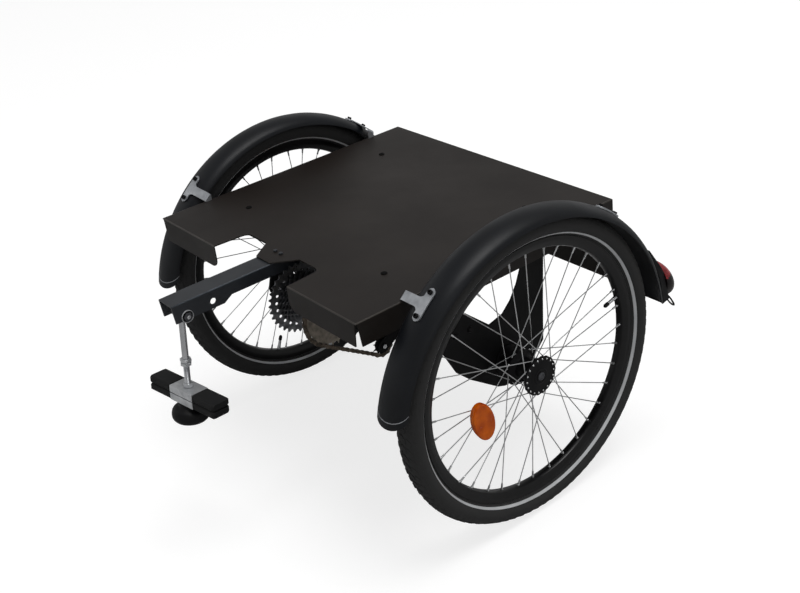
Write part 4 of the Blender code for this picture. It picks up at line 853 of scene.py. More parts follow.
@dataclass
class Wheel:
    """One spoked wheel: tyre, rim, spokes, hub, valve and reflector."""

    word: str
    side: int
    body: Body
    valve_angle: float
    half_track: float = 0.381
    tyre_r: float = 0.303
    tyre_half_w: float = 0.026
    tread: float = 0.0014
    tread_copies: int = 92
    # rows of blocks on one half: inner and outer angle, lean, shift, share of the pitch, share of the full height
    tread_rows: tuple[tuple[float, ...], ...] = ((0.05, 0.36, 0.5, 0.0, 0.38, 1.0), (0.45, 0.80, 0.55, 0.25, 0.34, 0.7),
                                                 (0.90, 1.22, 0.25, 0.5, 0.30, 0.35))
    stripe_radii: tuple[float, ...] = (0.2638, 0.2650, 0.2662, 0.2674)
    stripe_proud: float = 0.00035
    rim_outer: float = 0.2595
    rim_seat: float = 0.2535
    rim_inner: float = 0.2366
    rim_half_w: float = 0.0125
    rim_inner_half_w: float = 0.009
    rim_wall: float = 0.0017
    flange_r: float = 0.0387
    flange_t: float = 0.0032
    flange_out: float = 0.026
    spoke_circle: float = 0.0335
    spoke_r: float = 0.001
    per_flange: int = 18
    crossings: int = 3
    steps: int = 144

    def centre(self) -> Vector:
        """Return the wheel's middle."""
        return AXLE + Vector((self.side * self.half_track, 0.0, 0.0))

    def build(self) -> None:
        """Build every piece of the wheel."""
        self.tyre()
        self.rim()
        self.spokes()
        self.hub()
        self.valve()
        self.reflector()

    def tyre(self) -> None:
        """Build the tyre's carcass, its tread blocks and the reflective stripes."""
        bead = self.rim_half_w - 0.0021
        crown = self.tyre_r - self.tread
        mid_r = (crown + self.rim_outer) / 2
        half_r = crown - mid_r
        outline = [(self.rim_seat + 0.0004, bead), (self.rim_outer, bead + 0.0002),
                   (self.rim_outer + 0.0016, bead + 0.0022)]
        for step in range(25):
            angle = math.radians(-38 + 256 * step / 24)
            outline.append((mid_r + half_r * math.sin(angle), self.tyre_half_w * math.cos(angle)))
        outline += [(self.rim_outer + 0.0016, -bead - 0.0022), (self.rim_outer, -bead - 0.0002),
                    (self.rim_seat + 0.0004, -bead)]
        carcass = lathe(outline, self.steps, along_x(self.centre()))
        piece(f"{self.word}_tyre_carcass", [carcass], TYRE_RUBBER, self.body, (f"{self.word}_tyre",))
        blocks = bmesh.new()
        pitch = math.tau / self.tread_copies

        def surface(across: float, turn: float, lift: float) -> Vector:
            """Return a point of the tread from its arc across, its turn and its lift."""
            angle = math.pi / 2 - across
            side = self.tyre_half_w * math.cos(angle) * (1 + lift / half_r * 0.7)
            return Vector((side, 0.0, 0.0)) + outward(turn) * (mid_r + (half_r + lift) * math.sin(angle))

        for sign in (-1, 1):
            for low, high, lean, shift, share, height in self.tread_rows:
                corners = []
                for lift, inset in ((-0.0006, 0.0), (self.tread * height, 0.06)):
                    for across, turn in ((low + inset * 0.3, -1), (high - inset * 0.3, -1), (high - inset * 0.3, 1),
                                         (low + inset * 0.3, 1)):
                        lean_by = (across - low) / (high - low) * lean
                        stagger = 0.25 if sign > 0 else 0.0
                        angle = pitch * (shift + stagger + lean_by + turn * (share - inset) / 2 * 1.2)
                        corners.append(blocks.verts.new(surface(sign * across, angle, lift)))
                for a, b, c, d in ((0, 1, 2, 3), (4, 5, 6, 7), (0, 1, 5, 4), (1, 2, 6, 5), (2, 3, 7, 6), (3, 0, 4, 7)):
                    blocks.faces.new((corners[a], corners[b], corners[c], corners[d]))
        mesh = Repeat.round_axis(f"{self.word}_tread", blocks, self.centre(), self.tread_copies, TYRE_RUBBER)
        settle(f"{self.word}_tread", mesh, self.body, (), 25.0)
        rings = []
        for sign in (-1, 1):
            strip = []
            for lift in (self.stripe_proud, -0.0004):
                row = []
                for radius in self.stripe_radii:
                    level = math.asin(max(-1.0, min(1.0, (radius - mid_r) / half_r)))
                    row.append((radius, sign * (self.tyre_half_w * math.cos(level) + lift)))
                strip += row if lift > 0 else row[::-1]
            rings.append(lathe(strip, self.steps, along_x(self.centre())))
        piece(f"{self.word}_tyre_stripe", rings, STRIPE, self.body)

    def rim(self) -> None:
        """Build the rim's channel with rounded lips."""
        inner = self.rim_inner_half_w
        wall = self.rim_wall
        lip = self.rim_half_w
        low = self.rim_inner
        half = [(low + 0.0012, 0.0), (low + 0.0012, inner * 0.55), (low + 0.0030, inner * 0.92),
                (low + 0.0060, inner * 1.08), (self.rim_seat - 0.004, lip - 0.0004), (self.rim_seat, lip),
                (self.rim_outer - 0.0006, lip), (self.rim_outer, lip - 0.0006), (self.rim_outer, lip - wall + 0.0004),
                (self.rim_outer - 0.0006, lip - wall), (self.rim_seat, lip - wall)]
        outline = half + [(r, -a) for r, a in reversed(half[1:])]
        piece(f"{self.word}_rim_channel", [lathe(outline, self.steps, along_x(self.centre()))], RIM_ALLOY, self.body,
              (f"{self.word}_rim",))

    def spokes(self) -> None:
        """Build the laced spokes with heads, elbows and nipples."""
        spacing = math.pi / self.per_flange
        half = self.flange_t / 2
        for flange, share, place in ((self.flange_out, 0.0, "outer"), (-self.flange_out, 0.5, "inner")):
            toward = -1 if flange > 0 else 1
            meshes = []
            for way in (1, -1):
                k = 0 if way == 1 else 1
                start = self.valve_angle + spacing * (0.5 + 2 * (k + share))
                end = start + way * 2 * self.crossings * spacing
                lace = way * 0.0006
                seat = flange + toward * (half + self.spoke_r + 0.0008) + lace
                out = flange - toward * (half + 0.0002)
                hole = Vector((self.side * seat, *polar(self.spoke_circle, start)))
                rim_r = self.rim_inner + 0.0015
                rim_end = Vector((self.side * (-toward * 0.0015 + lace), *polar(rim_r, end)))
                run = (rim_end - hole).normalized()
                head = Vector((self.side * out, hole.y, hole.z))
                back = Vector((self.side * -toward, 0.0, 0.0))
                nip = rim_end - run * 0.0125
                elbow = head - back * (abs(out - seat) * 0.55)
                shapes = [tube([head, elbow, hole + run * 0.0012, hole + run * 0.004, nip], self.spoke_r, 8),
                          tube([head + back * 0.0011, head + back * 0.0009, head + back * 0.0002, head - back * 0.0002],
                               0.0, 10, (0.0006, 0.0015, 0.0019, 0.0019)),
                          tube([nip, nip + run * 0.0008, nip + run * 0.009, nip + run * 0.0094, rim_end + run * 0.0008],
                               0.0, 8, (0.0014, 0.0018, 0.0019, 0.0026, 0.0030))]
                meshes.append(Repeat.round_axis(f"{self.word}_{place}_spoke_set_{k}", gathered(shapes),
                                                self.centre(), self.per_flange // 2, SPOKE_STEEL))
            settle(f"{self.word}_{place}_spoke_lacing", joined("lacing", meshes), self.body,
                   (f"{self.word}_{place}_spokes",), 40.0)

    def hub(self) -> None:
        """Build the hub's barrel, scalloped flanges, end cap and lock nut."""
        at = self.centre()
        half = self.flange_t / 2
        out = self.flange_out
        barrel = [(0.0082, out + 0.003), (0.0145, out + 0.0034), (0.0165, out + 0.0022), (0.0290, out + half),
                  (0.0300, out - half), (0.0238, out - 0.006), (0.0205, out - 0.010), (0.0200, 0.0),
                  (0.0205, -out + 0.010), (0.0238, -out + 0.006), (0.0300, -out + half), (0.0290, -out - half),
                  (0.0180, -out - half - 0.001), (0.0165, -out - half - 0.011), (0.0082, -out - half - 0.0115)]
        shapes = [lathe(barrel, 64, along_x(at, self.side))]
        outline = []
        for k in range(self.per_flange * 8):
            angle = math.tau * k / (self.per_flange * 8)
            dip = 0.0013 * (0.5 + 0.5 * math.cos(self.per_flange * angle)) ** 2
            outline.append(polar(self.flange_r - dip, angle))
        for flange, share in ((out, 0.0), (-out, 0.5)):
            turn = self.valve_angle + math.pi / self.per_flange * (0.5 + 2 * share) + math.pi / self.per_flange
            place = along_x(at, self.side) @ Matrix.Rotation(self.side * turn, 4, "Z")
            shapes.append(slab(outline, flange - half, flange + half, place, 0.0005))
        piece(f"{self.word}_hub_shell", shapes, BLACK_METAL, self.body, (f"{self.word}_hub",))
        nut = hexagon(along_x(at + Vector((self.side * (out + 0.0008), 0.0, 0.0)), self.side), 0.0098, 0.0032, 0.0078)
        piece(f"{self.word}_hub_lock_nut", [nut], BLACK_METAL, self.body)

    def valve(self) -> None:
        """Build the valve's stem and its knurled dust cap."""
        across = outward(self.valve_angle)
        place = Matrix.Translation(self.centre()) @ across.to_track_quat("Z", "X").to_matrix().to_4x4()
        low = self.rim_inner - 0.032
        stem = [(0.0, self.rim_seat - 0.001), (0.0040, self.rim_seat - 0.001), (0.0040, self.rim_inner - 0.004),
                (0.0034, self.rim_inner - 0.009), (0.0032, low + 0.011), (0.0, low + 0.011)]
        cap = [(0.0, low), (0.0022, low), (0.0032, low + 0.0016), (0.0040, low + 0.003), (0.0040, low + 0.011),
               (0.0, low + 0.012)]
        piece(f"{self.word}_valve_stem", [lathe(stem, 20, place, False)], BRIGHT, self.body, (f"{self.word}_valve",))
        piece(f"{self.word}_valve_cap", [lathe(cap, 20, place, False)], NYLON, self.body)

    def reflector(self) -> None:
        """Build the oval reflector: its lens and its back, both amber."""
        low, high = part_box(f"{self.word}_reflector")
        node = frame["nodes"][f"{self.word}_reflector"].data
        middle = (Vector(low) + Vector(high)) / 2
        spoke = middle - self.centre()
        radial = Vector((0.0, spoke.y, spoke.z)).normalized()
        points = [vert.co - middle for vert in node.vertices]
        lift = sum((p.x * p.dot(radial) for p in points)) / sum(p.dot(radial) ** 2 for p in points)
        short = (radial + Vector((lift, 0.0, 0.0))).normalized()
        long = Vector((self.side, 0.0, 0.0)).cross(radial).normalized()
        face = short.cross(long).normalized()
        face = face if face.x * self.side > 0 else -face
        place = Matrix.Translation(middle) @ Matrix((short, long, face)).transposed().to_4x4()
        rise = max(p.dot(face) for p in points)
        fall = min(p.dot(face) for p in points)
        half_s = max(p.dot(short) for p in points)
        half_l = max(p.dot(long) for p in points)

        def oval(scale: float, height: float) -> list[Vector]:
            """Return one oval section."""
            return [place @ Vector((a * half_s * scale, b * half_l * scale, height)) for a, b in ring(48, 1.0)]

        lens = loft([oval(0.95, rise - 0.0060), oval(0.96, rise - 0.0024), oval(0.93, rise - 0.0008), oval(0.86, rise)])
        back = loft([oval(0.82, fall), oval(0.97, fall + 0.0012), oval(1.0, rise - 0.0052), oval(1.0, rise - 0.0030),
                     oval(0.965, rise - 0.0026)])
        piece(f"{self.word}_reflector_lens", [lens], AMBER, self.body, (f"{self.word}_reflector",))
        piece(f"{self.word}_reflector_back", [back], AMBER, self.body)


@dataclass
class Mudguard:
    """One moulded mudguard with its two strap brackets and rear light."""

    word: str
    side: int
    half_track: float = 0.381
    radius: float = 0.340
    drop: float = 0.025
    half_w: float = 0.037
    edge_round: float = 0.018
    wall: float = 0.002
    front: float = math.radians(12.0)
    tongue: float = 0.022
    rear: float = math.radians(5.8)
    bracket_front: float = math.radians(49.4)
    bracket_rear: float = math.radians(51.0)
    bar_w: float = 0.018
    bar_len: float = 0.062
    bar_t: float = 0.003
    bolt_span: float = 0.0445
    stem_w: float = 0.0185
    stem_t: float = 0.0022
    stem_drop: float = 0.005
    crease: float = 0.0042
    lip_x: float = 0.3215
    deck_top: float = 0.221
    light_angle: float = math.radians(14.0)
    hook_low: float = 0.0530

    def centre(self) -> Vector:
        """Return the middle of the guard's arc."""
        return AXLE + Vector((self.side * self.half_track, 0.0, -self.drop))

    def build(self) -> None:
        """Build the guard, its brackets and its light."""
        self.guard()
        self.bracket("front", math.pi - self.bracket_front)
        self.bracket("rear", self.bracket_rear)
        self.light()

    def guard(self) -> None:
        """Build the guard as a swept shell with rounded ends and a flap line."""
        steps = 132
        sweep = math.pi - self.front - self.rear
        blend = sweep / 22
        corner = 0.016 / self.radius
        sections = []
        for step in range(steps + 1):
            share = step / steps
            angle = self.rear + sweep * share
            reach = max(0.0, 1 - (self.rear + sweep - angle) / blend)
            cut = max(0.0, 1 - (angle - self.rear) / corner)
            keep = 1.0 - 0.30 * (1 - math.sqrt(max(0.0, 1 - cut * cut)))
            section = []
            for size, order in ((0.0, 1), (self.wall, -1)):
                row = []
                for k in range(15):
                    t = math.pi / 2 * keep * (1 - 2 * k / 14)
                    bulge = self.edge_round - size
                    row.append(cartesian(self.centre(), (self.half_w - size) * math.sin(t),
                                         self.radius - size - bulge * (1 - math.cos(t)),
                                         angle - reach * self.end_back(math.sin(t))))
                section += row if order > 0 else row[::-1]
            sections.append(section)
        piece(f"{self.word}_mudguard_shell", [loft(sections)], GUARD_SKIN, Body.FRAME, (f"{self.word}_mudguard",), 50.0)
        seam = []
        angle = math.pi - self.front - 0.013 / self.radius
        for turn in (angle - 0.0006 / self.radius, angle + 0.0006 / self.radius):
            row = []
            for size, order in ((-0.0003, 1), (0.0006, -1)):
                line = [cartesian(self.centre(), (self.half_w - size) * math.sin(t),
                                  self.radius - size - (self.edge_round - size) * (1 - math.cos(t)),
                                  turn - self.end_back(math.sin(t)))
                        for t in (math.pi / 2 * (1 - 2 * k / 14) for k in range(15))]
                row += line if order > 0 else line[::-1]
            seam.append(row)
        piece(f"{self.word}_mudguard_flap_seam", [loft(seam)], STRAP, Body.FRAME)

    def end_back(self, share: float) -> float:
        """Return how far the front end turns back at a sideways share of the half width.

        Args:
            share: the sideways place, from -1 to 1.

        Returns:
            The turn in radians.
        """
        return self.tongue * (1 - math.sqrt(max(0.0, 1 - share * share))) / self.radius

    def bracket(self, place: str, angle: float) -> None:
        """Build a strap bracket: a bar on the crown and a stem down to the deck.

        Args:
            place: front or rear.
            angle: where it lies round the guard's arc.
        """
        middle = self.centre()
        low = self.radius + 0.0003
        sections = []
        half = self.bar_len / 2
        for k in range(21):
            s = -half + self.bar_len * k / 20
            left = half - abs(s)
            wide = self.bar_w / 2
            if left < wide:
                wide = max(0.0016, math.sqrt(max(0.0, wide * wide - (wide - left) ** 2)))
            turn = angle + s / self.radius
            sections.append([cartesian(middle, x, r, turn) for x, r in (
                (-wide, low), (wide, low), (wide, low + self.bar_t - 0.0004), (wide - 0.0004, low + self.bar_t),
                (-wide + 0.0004, low + self.bar_t), (-wide, low + self.bar_t - 0.0004))])
        bar = loft(sections)
        radial = outward(angle)
        tangent = Vector((0.0, -math.sin(angle), math.cos(angle))) * (1 if angle > math.pi / 2 else -1)
        crown = middle + radial * (low + self.bar_t / 2)
        bar_x = self.half_track - self.bar_w / 2
        lip_x = self.lip_x - self.stem_t / 2
        fold_x = lip_x + self.crease
        rows = []

        def station(x: float, drop: float, lean: float, wide: float) -> list[Vector]:
            """Return the strap's section at a place, its face leant towards the deck."""
            spot = crown - radial * drop
            spot.x = AXLE.x + self.side * x
            w = tangent * (self.stem_w / 2 * wide)
            face = radial * math.cos(lean) - Vector((self.side * math.sin(lean), 0.0, 0.0))
            t = face * (self.stem_t / 2)
            corners = ((-0.97, -1.0), (0.97, -1.0), (1.0, -0.6), (1.0, 0.6), (0.97, 1.0), (-0.97, 1.0), (-1.0, 0.6),
                       (-1.0, -0.6))
            return [spot + w * a + t * b for a, b in corners]

        for x, wide in ((bar_x + 0.0035, 1.62), (bar_x - 0.001, 1.42), (bar_x - 0.003, 1.22), (bar_x - 0.006, 1.07),
                        (bar_x - 0.010, 1.0), (fold_x, 1.0)):
            rows.append(station(x, self.stem_drop * max(0.0, bar_x - x) / (bar_x - self.lip_x), 0.0, wide))
        drop = self.stem_drop * (bar_x - fold_x) / (bar_x - self.lip_x)
        rows[-1] = station(fold_x, drop, math.pi / 8, 1.0)
        rows.append(station(lip_x, drop + self.crease * 0.8, math.pi * 3 / 8, 1.0))
        rows.append(station(lip_x, drop + self.crease * 0.8 + 0.0016, math.pi / 2, 1.0))
        foot = AXLE.z + self.deck_top + 0.0003
        rows.append([Vector((point.x, point.y, foot)) for point in rows[-1]])
        node = f"{self.word}_{place}_bracket"
        piece(f"{node}_strap", [bar, loft(rows)], STRAP, Body.FRAME, (node,), 30.0)
        heads = []
        for sign in (-1, 1):
            turn = angle + sign * self.bolt_span / 2 / self.radius
            out = outward(turn)
            frame_turn = out.to_track_quat("Z", "X").to_matrix().to_4x4()
            seat = Matrix.Translation(middle + out * (low + self.bar_t - 0.0002)) @ frame_turn
            heads.append(cap_screw(seat, 0.0045, 0.0046, 0.0021))
            inner = Matrix.Translation(middle + out * (self.radius - self.wall - 0.0058)) @ frame_turn
            heads.append(hexagon(inner, 0.0042, 0.0040))
            heads.append(tube([middle + out * (self.radius - 0.005), middle + out * (low + 0.001)], 0.0022, 12))
        piece(f"{node}_screws", heads, BLACK_METAL, Body.FRAME)

    def light(self) -> None:
        """Build the light's base, its domed lens and the wire loop below."""
        normal = outward(self.light_angle)
        down = Vector((0.0, math.sin(self.light_angle), -math.cos(self.light_angle)))
        spot = self.centre() + normal * self.radius

        def at(across: float, out: float, low: float) -> Vector:
            """Return a point from its sideways, outward and downward distance."""
            return spot + Vector((across, 0.0, 0.0)) + normal * out + down * low

        base = softened(f"{self.word}_light_base", 0.0)
        piece(f"{self.word}_light_housing", [base], NYLON, Body.FRAME, (f"{self.word}_light_base",), 45.0)
        sections = []
        for share in (0.0, 0.04, 0.18, 0.34, 0.50, 0.64, 0.76, 0.86, 0.93, 0.975, 0.995):
            shrink = math.sqrt(1 - share * share) if share > 0.05 else 1.0
            sections.append([at(a * 0.027 * shrink, 0.0146 + 0.036 * share, 0.013 + 0.029 * share + b * 0.044 * shrink)
                             for a, b in ring(48, 1.0)])
        lens = loft(sections)
        # the lens's upper band gets the painted light finish, the rest the painted shade
        for face in lens.faces:
            low = (face.calc_center_median() - spot).dot(down)
            face.material_index = 1 if low < 0.010 else 0
        piece(f"{self.word}_lens", [lens], LENS, Body.FRAME, (f"{self.word}_rear_light",), 60.0, LIT_PAINTED_LENS)
        start = at(0.0, 0.006, self.hook_low)
        path = [start, start + Vector((0.0, 0.0140, -0.0050)), start + Vector((0.0, 0.0280, -0.0097))]
        for k in range(1, 20):
            turn = math.tau * k / 20
            part = (1 - math.cos(turn)) / 2
            path.append(path[2] + Vector((-self.side * 0.0066 * math.sin(turn), 0.0196 * part, -0.0322 * part)))
        path.append(path[2])
        piece(f"{self.word}_hook_sleeve", [tube(path, 0.0017, 10)], SLEEVE, Body.FRAME)


@dataclass
class Deck:
    """The folded deck and the side plates that hang from it."""

    fold: float = 0.0022
    rim: float = 0.0005
    half_w: float = 0.325
    top: float = 0.221
    hole_x: float = 0.221
    hole_y: tuple[float, float] = (-0.181, 0.161)
    plug: tuple[Pair, ...] = ((0.0, -0.0030), (0.0036, -0.0030), (0.0036, 0.0003), (0.0062, 0.0003), (0.0060, 0.0011),
                              (0.0046, 0.0019), (0.0, 0.0022))

    def build(self) -> None:
        """Build the deck, its plates and the bearing housings."""
        high = AXLE.z + self.top

        def fold_edge(edge: bmesh.types.BMEdge) -> bool:
            """Tell whether an edge is an outer fold of the deck."""
            a, b = (vert.co for vert in edge.verts)
            if abs(a.z - high) > 2e-4 or abs(b.z - high) > 2e-4:
                return False
            sides = abs(abs(a.x) - self.half_w) < 2e-4 and abs(abs(b.x) - self.half_w) < 2e-4
            front = abs(a.y - b.y) < 2e-4 and (a.y < AXLE.y - 0.32 or a.y > AXLE.y + 0.289)
            return sides or front

        # the rounded folds take the second finish: rubbed paint lightened as a painted highlight
        deck = softened("deck", self.rim, fold_edge, self.fold, rub_and_highlight=1)
        piece("deck_sheet", [deck], DECK_PAINT, Body.FRAME, ("deck",), second=DECK_RUB_AND_HIGHLIGHT)
        plugs = []
        for side in (-1, 1):
            for along in self.hole_y:
                seat = Matrix.Translation(AXLE + Vector((side * self.hole_x, along, self.top)))
                plugs.append(lathe(self.plug, 24, seat, False))
        piece("deck_hole_plugs", plugs, PLUG_RUBBER, Body.FRAME)
        for word in ("left", "right"):
            plate = softened(f"{word}_side_plate", self.rim)
            piece(f"{word}_plate", [plate], PLATE_PAINT, Body.FRAME, (f"{word}_side_plate",))
            hanger = softened(f"{word}_hanger", self.rim)
            piece(f"{word}_hanger_plate", [hanger], PLATE_PAINT, Body.FRAME, (f"{word}_hanger",))
            self.housing(word, -1 if word == "left" else 1)

    def housing(self, word: str, side: int) -> None:
        """Build one bearing housing.

        Args:
            word: left or right.
            side: -1 or 1.
        """
        face = self.half_w - 0.0025
        outline = [(0.0080, face + 0.0069), (0.0150, face + 0.0070), (0.0185, face + 0.0066), (0.0200, face + 0.0056),
                   (0.0290, face + 0.0032), (0.0300, face + 0.0022), (0.0300, face), (0.0200, face),
                   (0.0200, face - 0.0114), (0.0190, face - 0.0124), (0.0080, face - 0.0124)]
        shape = lathe(outline, 64, along_x(AXLE, side))
        screws = [cap_screw(along_x(AXLE + Vector((side * (face + 0.0030), *spot)), side), 0.0032, 0.0022, 0.0013)
                  for spot in ring(4, 0.0245, math.pi / 4)]
        piece(f"{word}_bearing_cup", [shape], BLACK_METAL, Body.FRAME, (f"{word}_bearing_housing",))
        piece(f"{word}_bearing_screws", screws, BLACK_METAL, Body.FRAME)


@dataclass
class Tow:
    """The tow arm, the hanging rod and the clamp with its knob."""

    arm_half_w: float = 0.0232
    rod_r: float = 0.006
    thread_r: float = 0.0058
    thread_pitch: float = 0.00175
    rod_len: float = 0.1005
    thread_end: float = 0.2110
    eye_r: float = 0.0115
    lock_start: float = 0.092
    lock_h: float = 0.0058
    neck_r: float = 0.0078
    neck_h: float = 0.0014
    nut_flat: float = 0.0095
    plate_nut_flat: float = 0.0085
    plate_nut_h: float = 0.0080
    clamp_start: float = 0.149
    jaw_h: float = 0.0149
    knob_r: float = 0.035
    knob_neck: float = 0.020
    knob_len: float = 0.0420
    # the knob's outline below its neck: share of its radius, distance from its top
    knob_curve: tuple[Pair, ...] = ((0.78, 0.0100), (0.90, 0.0128), (0.965, 0.0165), (0.995, 0.0215), (1, 0.0255),
                                    (0.985, 0.0290), (0.94, 0.0322), (0.86, 0.0352), (0.72, 0.0380), (0.52, 0.0402),
                                    (0.30, 0.0414))

    def rod_frame(self, along: float, turn: float = 0.0) -> Matrix:
        """Return the matrix at a distance down the rod, with local Z down it.

        Args:
            along: the distance from the pivot.
            turn: the turn about the rod.

        Returns:
            The matrix.
        """
        side = Vector((1.0, 0.0, 0.0))
        basis = Matrix((side, DOWN_ROD.cross(side), DOWN_ROD)).transposed().to_4x4()
        return Matrix.Translation(PIVOT + DOWN_ROD * along) @ basis @ Matrix.Rotation(turn, 4, "Z")

    def build(self) -> None:
        """Build the arm, rod, nuts, clamp and knob."""
        high = AXLE.z + 0.2182

        def back_edge(edge: bmesh.types.BMEdge) -> bool:
            """Tell whether an edge is one of the channel's two long outer folds."""
            a, b = (vert.co for vert in edge.verts)
            return (abs(a.z - high) < 4e-4 and abs(b.z - high) < 4e-4 and abs(abs(a.x) - self.arm_half_w) < 2e-4
                    and abs(a.x - b.x) < 2e-4)

        # the two long folds take the second finish: rubbed enamel lightened as a painted highlight
        channel = softened("tow_arm", 0.0005, back_edge, 0.0022, rub_and_highlight=1)
        piece("arm_channel", [channel], ARM_PAINT, Body.FRAME, ("tow_arm",), second=ARM_RUB_AND_HIGHLIGHT)
        self.pivot()
        self.rod()
        self.clamp()

    def pivot(self) -> None:
        """Build the pivot bolt: cupped washers, a nut on each side and the thread's ends."""
        seat = self.arm_half_w + 0.0003
        cups = []
        shapes = []
        nuts = []
        for side in (-1, 1):
            place = along_x(PIVOT + Vector((side * seat, 0.0, 0.0)), side)
            cups.append(lathe([(0.0042, 0.0), (0.0112, 0.0), (0.0112, 0.0010), (0.0042, 0.0010)], 40, place))
            rim = [(0.0104, 0.0), (0.0117, 0.0), (0.0120, 0.0006), (0.0118, 0.0017), (0.0111, 0.0021), (0.0104, 0.0016)]
            shapes.append(lathe(rim, 48, place))
            turned = place @ Matrix.Translation((0.0, 0.0, 0.0010)) @ Matrix.Rotation(0.35, 4, "Z")
            nuts.append(hexagon(turned, 0.0074, 0.0050, 0.0043))
        tip = self.arm_half_w + 0.0080
        bolt = [(0.0, -tip), (0.0024, -tip), (0.0038, -tip + 0.0012), (0.0038, tip - 0.0012), (0.0024, tip), (0.0, tip)]
        piece("pivot_nuts", nuts, AXLE_STEEL, Body.FRAME, ("pivot_bolt",))
        piece("pivot_washer_rims", shapes, ZINC, Body.FRAME)
        piece("pivot_washer_cups", cups, BLACK_METAL, Body.FRAME)
        piece("pivot_shank", [lathe(bolt, 24, along_x(PIVOT), False)], BRIGHT, Body.FRAME)

    def rod(self) -> None:
        """Build the eye rod, its nuts and the threaded rod."""
        half = self.arm_half_w - 0.0035
        eye = [(0.0043, -half), (0.0100, -half), (self.eye_r, -half + 0.0010), (self.eye_r, half - 0.0010),
               (0.0100, half), (0.0043, half)]
        shapes = [lathe(eye, 48, along_x(PIVOT))]
        shank = [(0.0, self.eye_r - 0.0015), (self.rod_r, self.eye_r - 0.0015), (self.rod_r, self.rod_len - 0.0010),
                 (self.rod_r - 0.0010, self.rod_len), (0.0, self.rod_len)]
        shapes.append(lathe(shank, 32, self.rod_frame(0.0), False))
        piece("eye_rod_shank", shapes, BRIGHT, Body.ROD, ("eye_rod",))
        piece("thread", [self.thread()], ZINC, Body.ROD, ("threaded_rod",), 50.0)
        hole = self.rod_r + 0.0003
        second = self.lock_start + self.lock_h + self.neck_h
        lock = hexagon(self.rod_frame(self.lock_start, -math.radians(14)), self.nut_flat, self.lock_h, hole)
        counter = hexagon(self.rod_frame(second), self.nut_flat, self.lock_h, hole)
        neck = [(hole, self.lock_start + self.lock_h - 0.0003), (self.neck_r, self.lock_start + self.lock_h - 0.0003),
                (self.neck_r, second + 0.0003), (hole, second + 0.0003)]
        piece("rod_nut_pair", [lock, counter, lathe(neck, 32, self.rod_frame(0.0))], ZINC, Body.ROD, ("rod_nuts",))
        top = self.clamp_start - self.plate_nut_h - 0.0003
        nut = hexagon(self.rod_frame(top), self.plate_nut_flat, self.plate_nut_h, self.thread_r + 0.0003)
        piece("clamp_nut", [nut], ZINC, Body.ROD, ("plate_nut",))

    def thread(self) -> bmesh.types.BMesh:
        """Build the threaded rod with a real helix."""
        count = 16
        start = self.rod_len + 0.0003
        length = self.thread_end - start
        turns = int(length / self.thread_pitch)
        place = self.rod_frame(start)
        rows = []
        for k in range(turns * 2 + 1):
            row = []
            for j in range(count):
                angle = math.tau * j / count
                z = min(max((k / 2 - 1 + j / count) * self.thread_pitch, 0.0), length)
                radius = self.thread_r - (0.0009 if k % 2 else 0.0)
                row.append(place @ Vector((*polar(radius, angle), z)))
            rows.append(row)
        return loft(rows)

    def clamp(self) -> None:
        """Build both jaws with their sleeves, and the knob."""
        for word, name, body in (("top", "upper", Body.UPPER_JAW), ("bottom", "lower", Body.LOWER_JAW)):
            piece(f"{name}_jaw_plate", [softened(f"{word}_jaw", 0.0006)], ZINC, body, (f"{word}_jaw",))
            for side in ("left", "right"):
                node = f"{word}_{side}_sleeve"
                piece(f"{name}_{side}_grip", [softened(node, 0.0008, limit=30.0)], SLEEVE, body, (node,), 50.0)
        top = self.clamp_start + 2 * self.jaw_h + 0.0006
        neck = self.knob_neck
        r = self.knob_r
        hole = self.thread_r + 0.0003
        outline = [(hole, top), (neck - 0.001, top), (neck, top + 0.001), (neck, top + 0.005),
                   (neck + 0.002, top + 0.0075)]
        outline += [(r * share, top + along) for share, along in self.knob_curve] + [(0.0, top + self.knob_len)]
        bore_end = top + self.knob_len - 0.009
        inner = [(0.0, bore_end), (hole, bore_end)]
        piece("knob_body", [lathe(inner + outline, 72, self.rod_frame(0.0), False)], NYLON, Body.KNOB, ("knob",), 50.0)


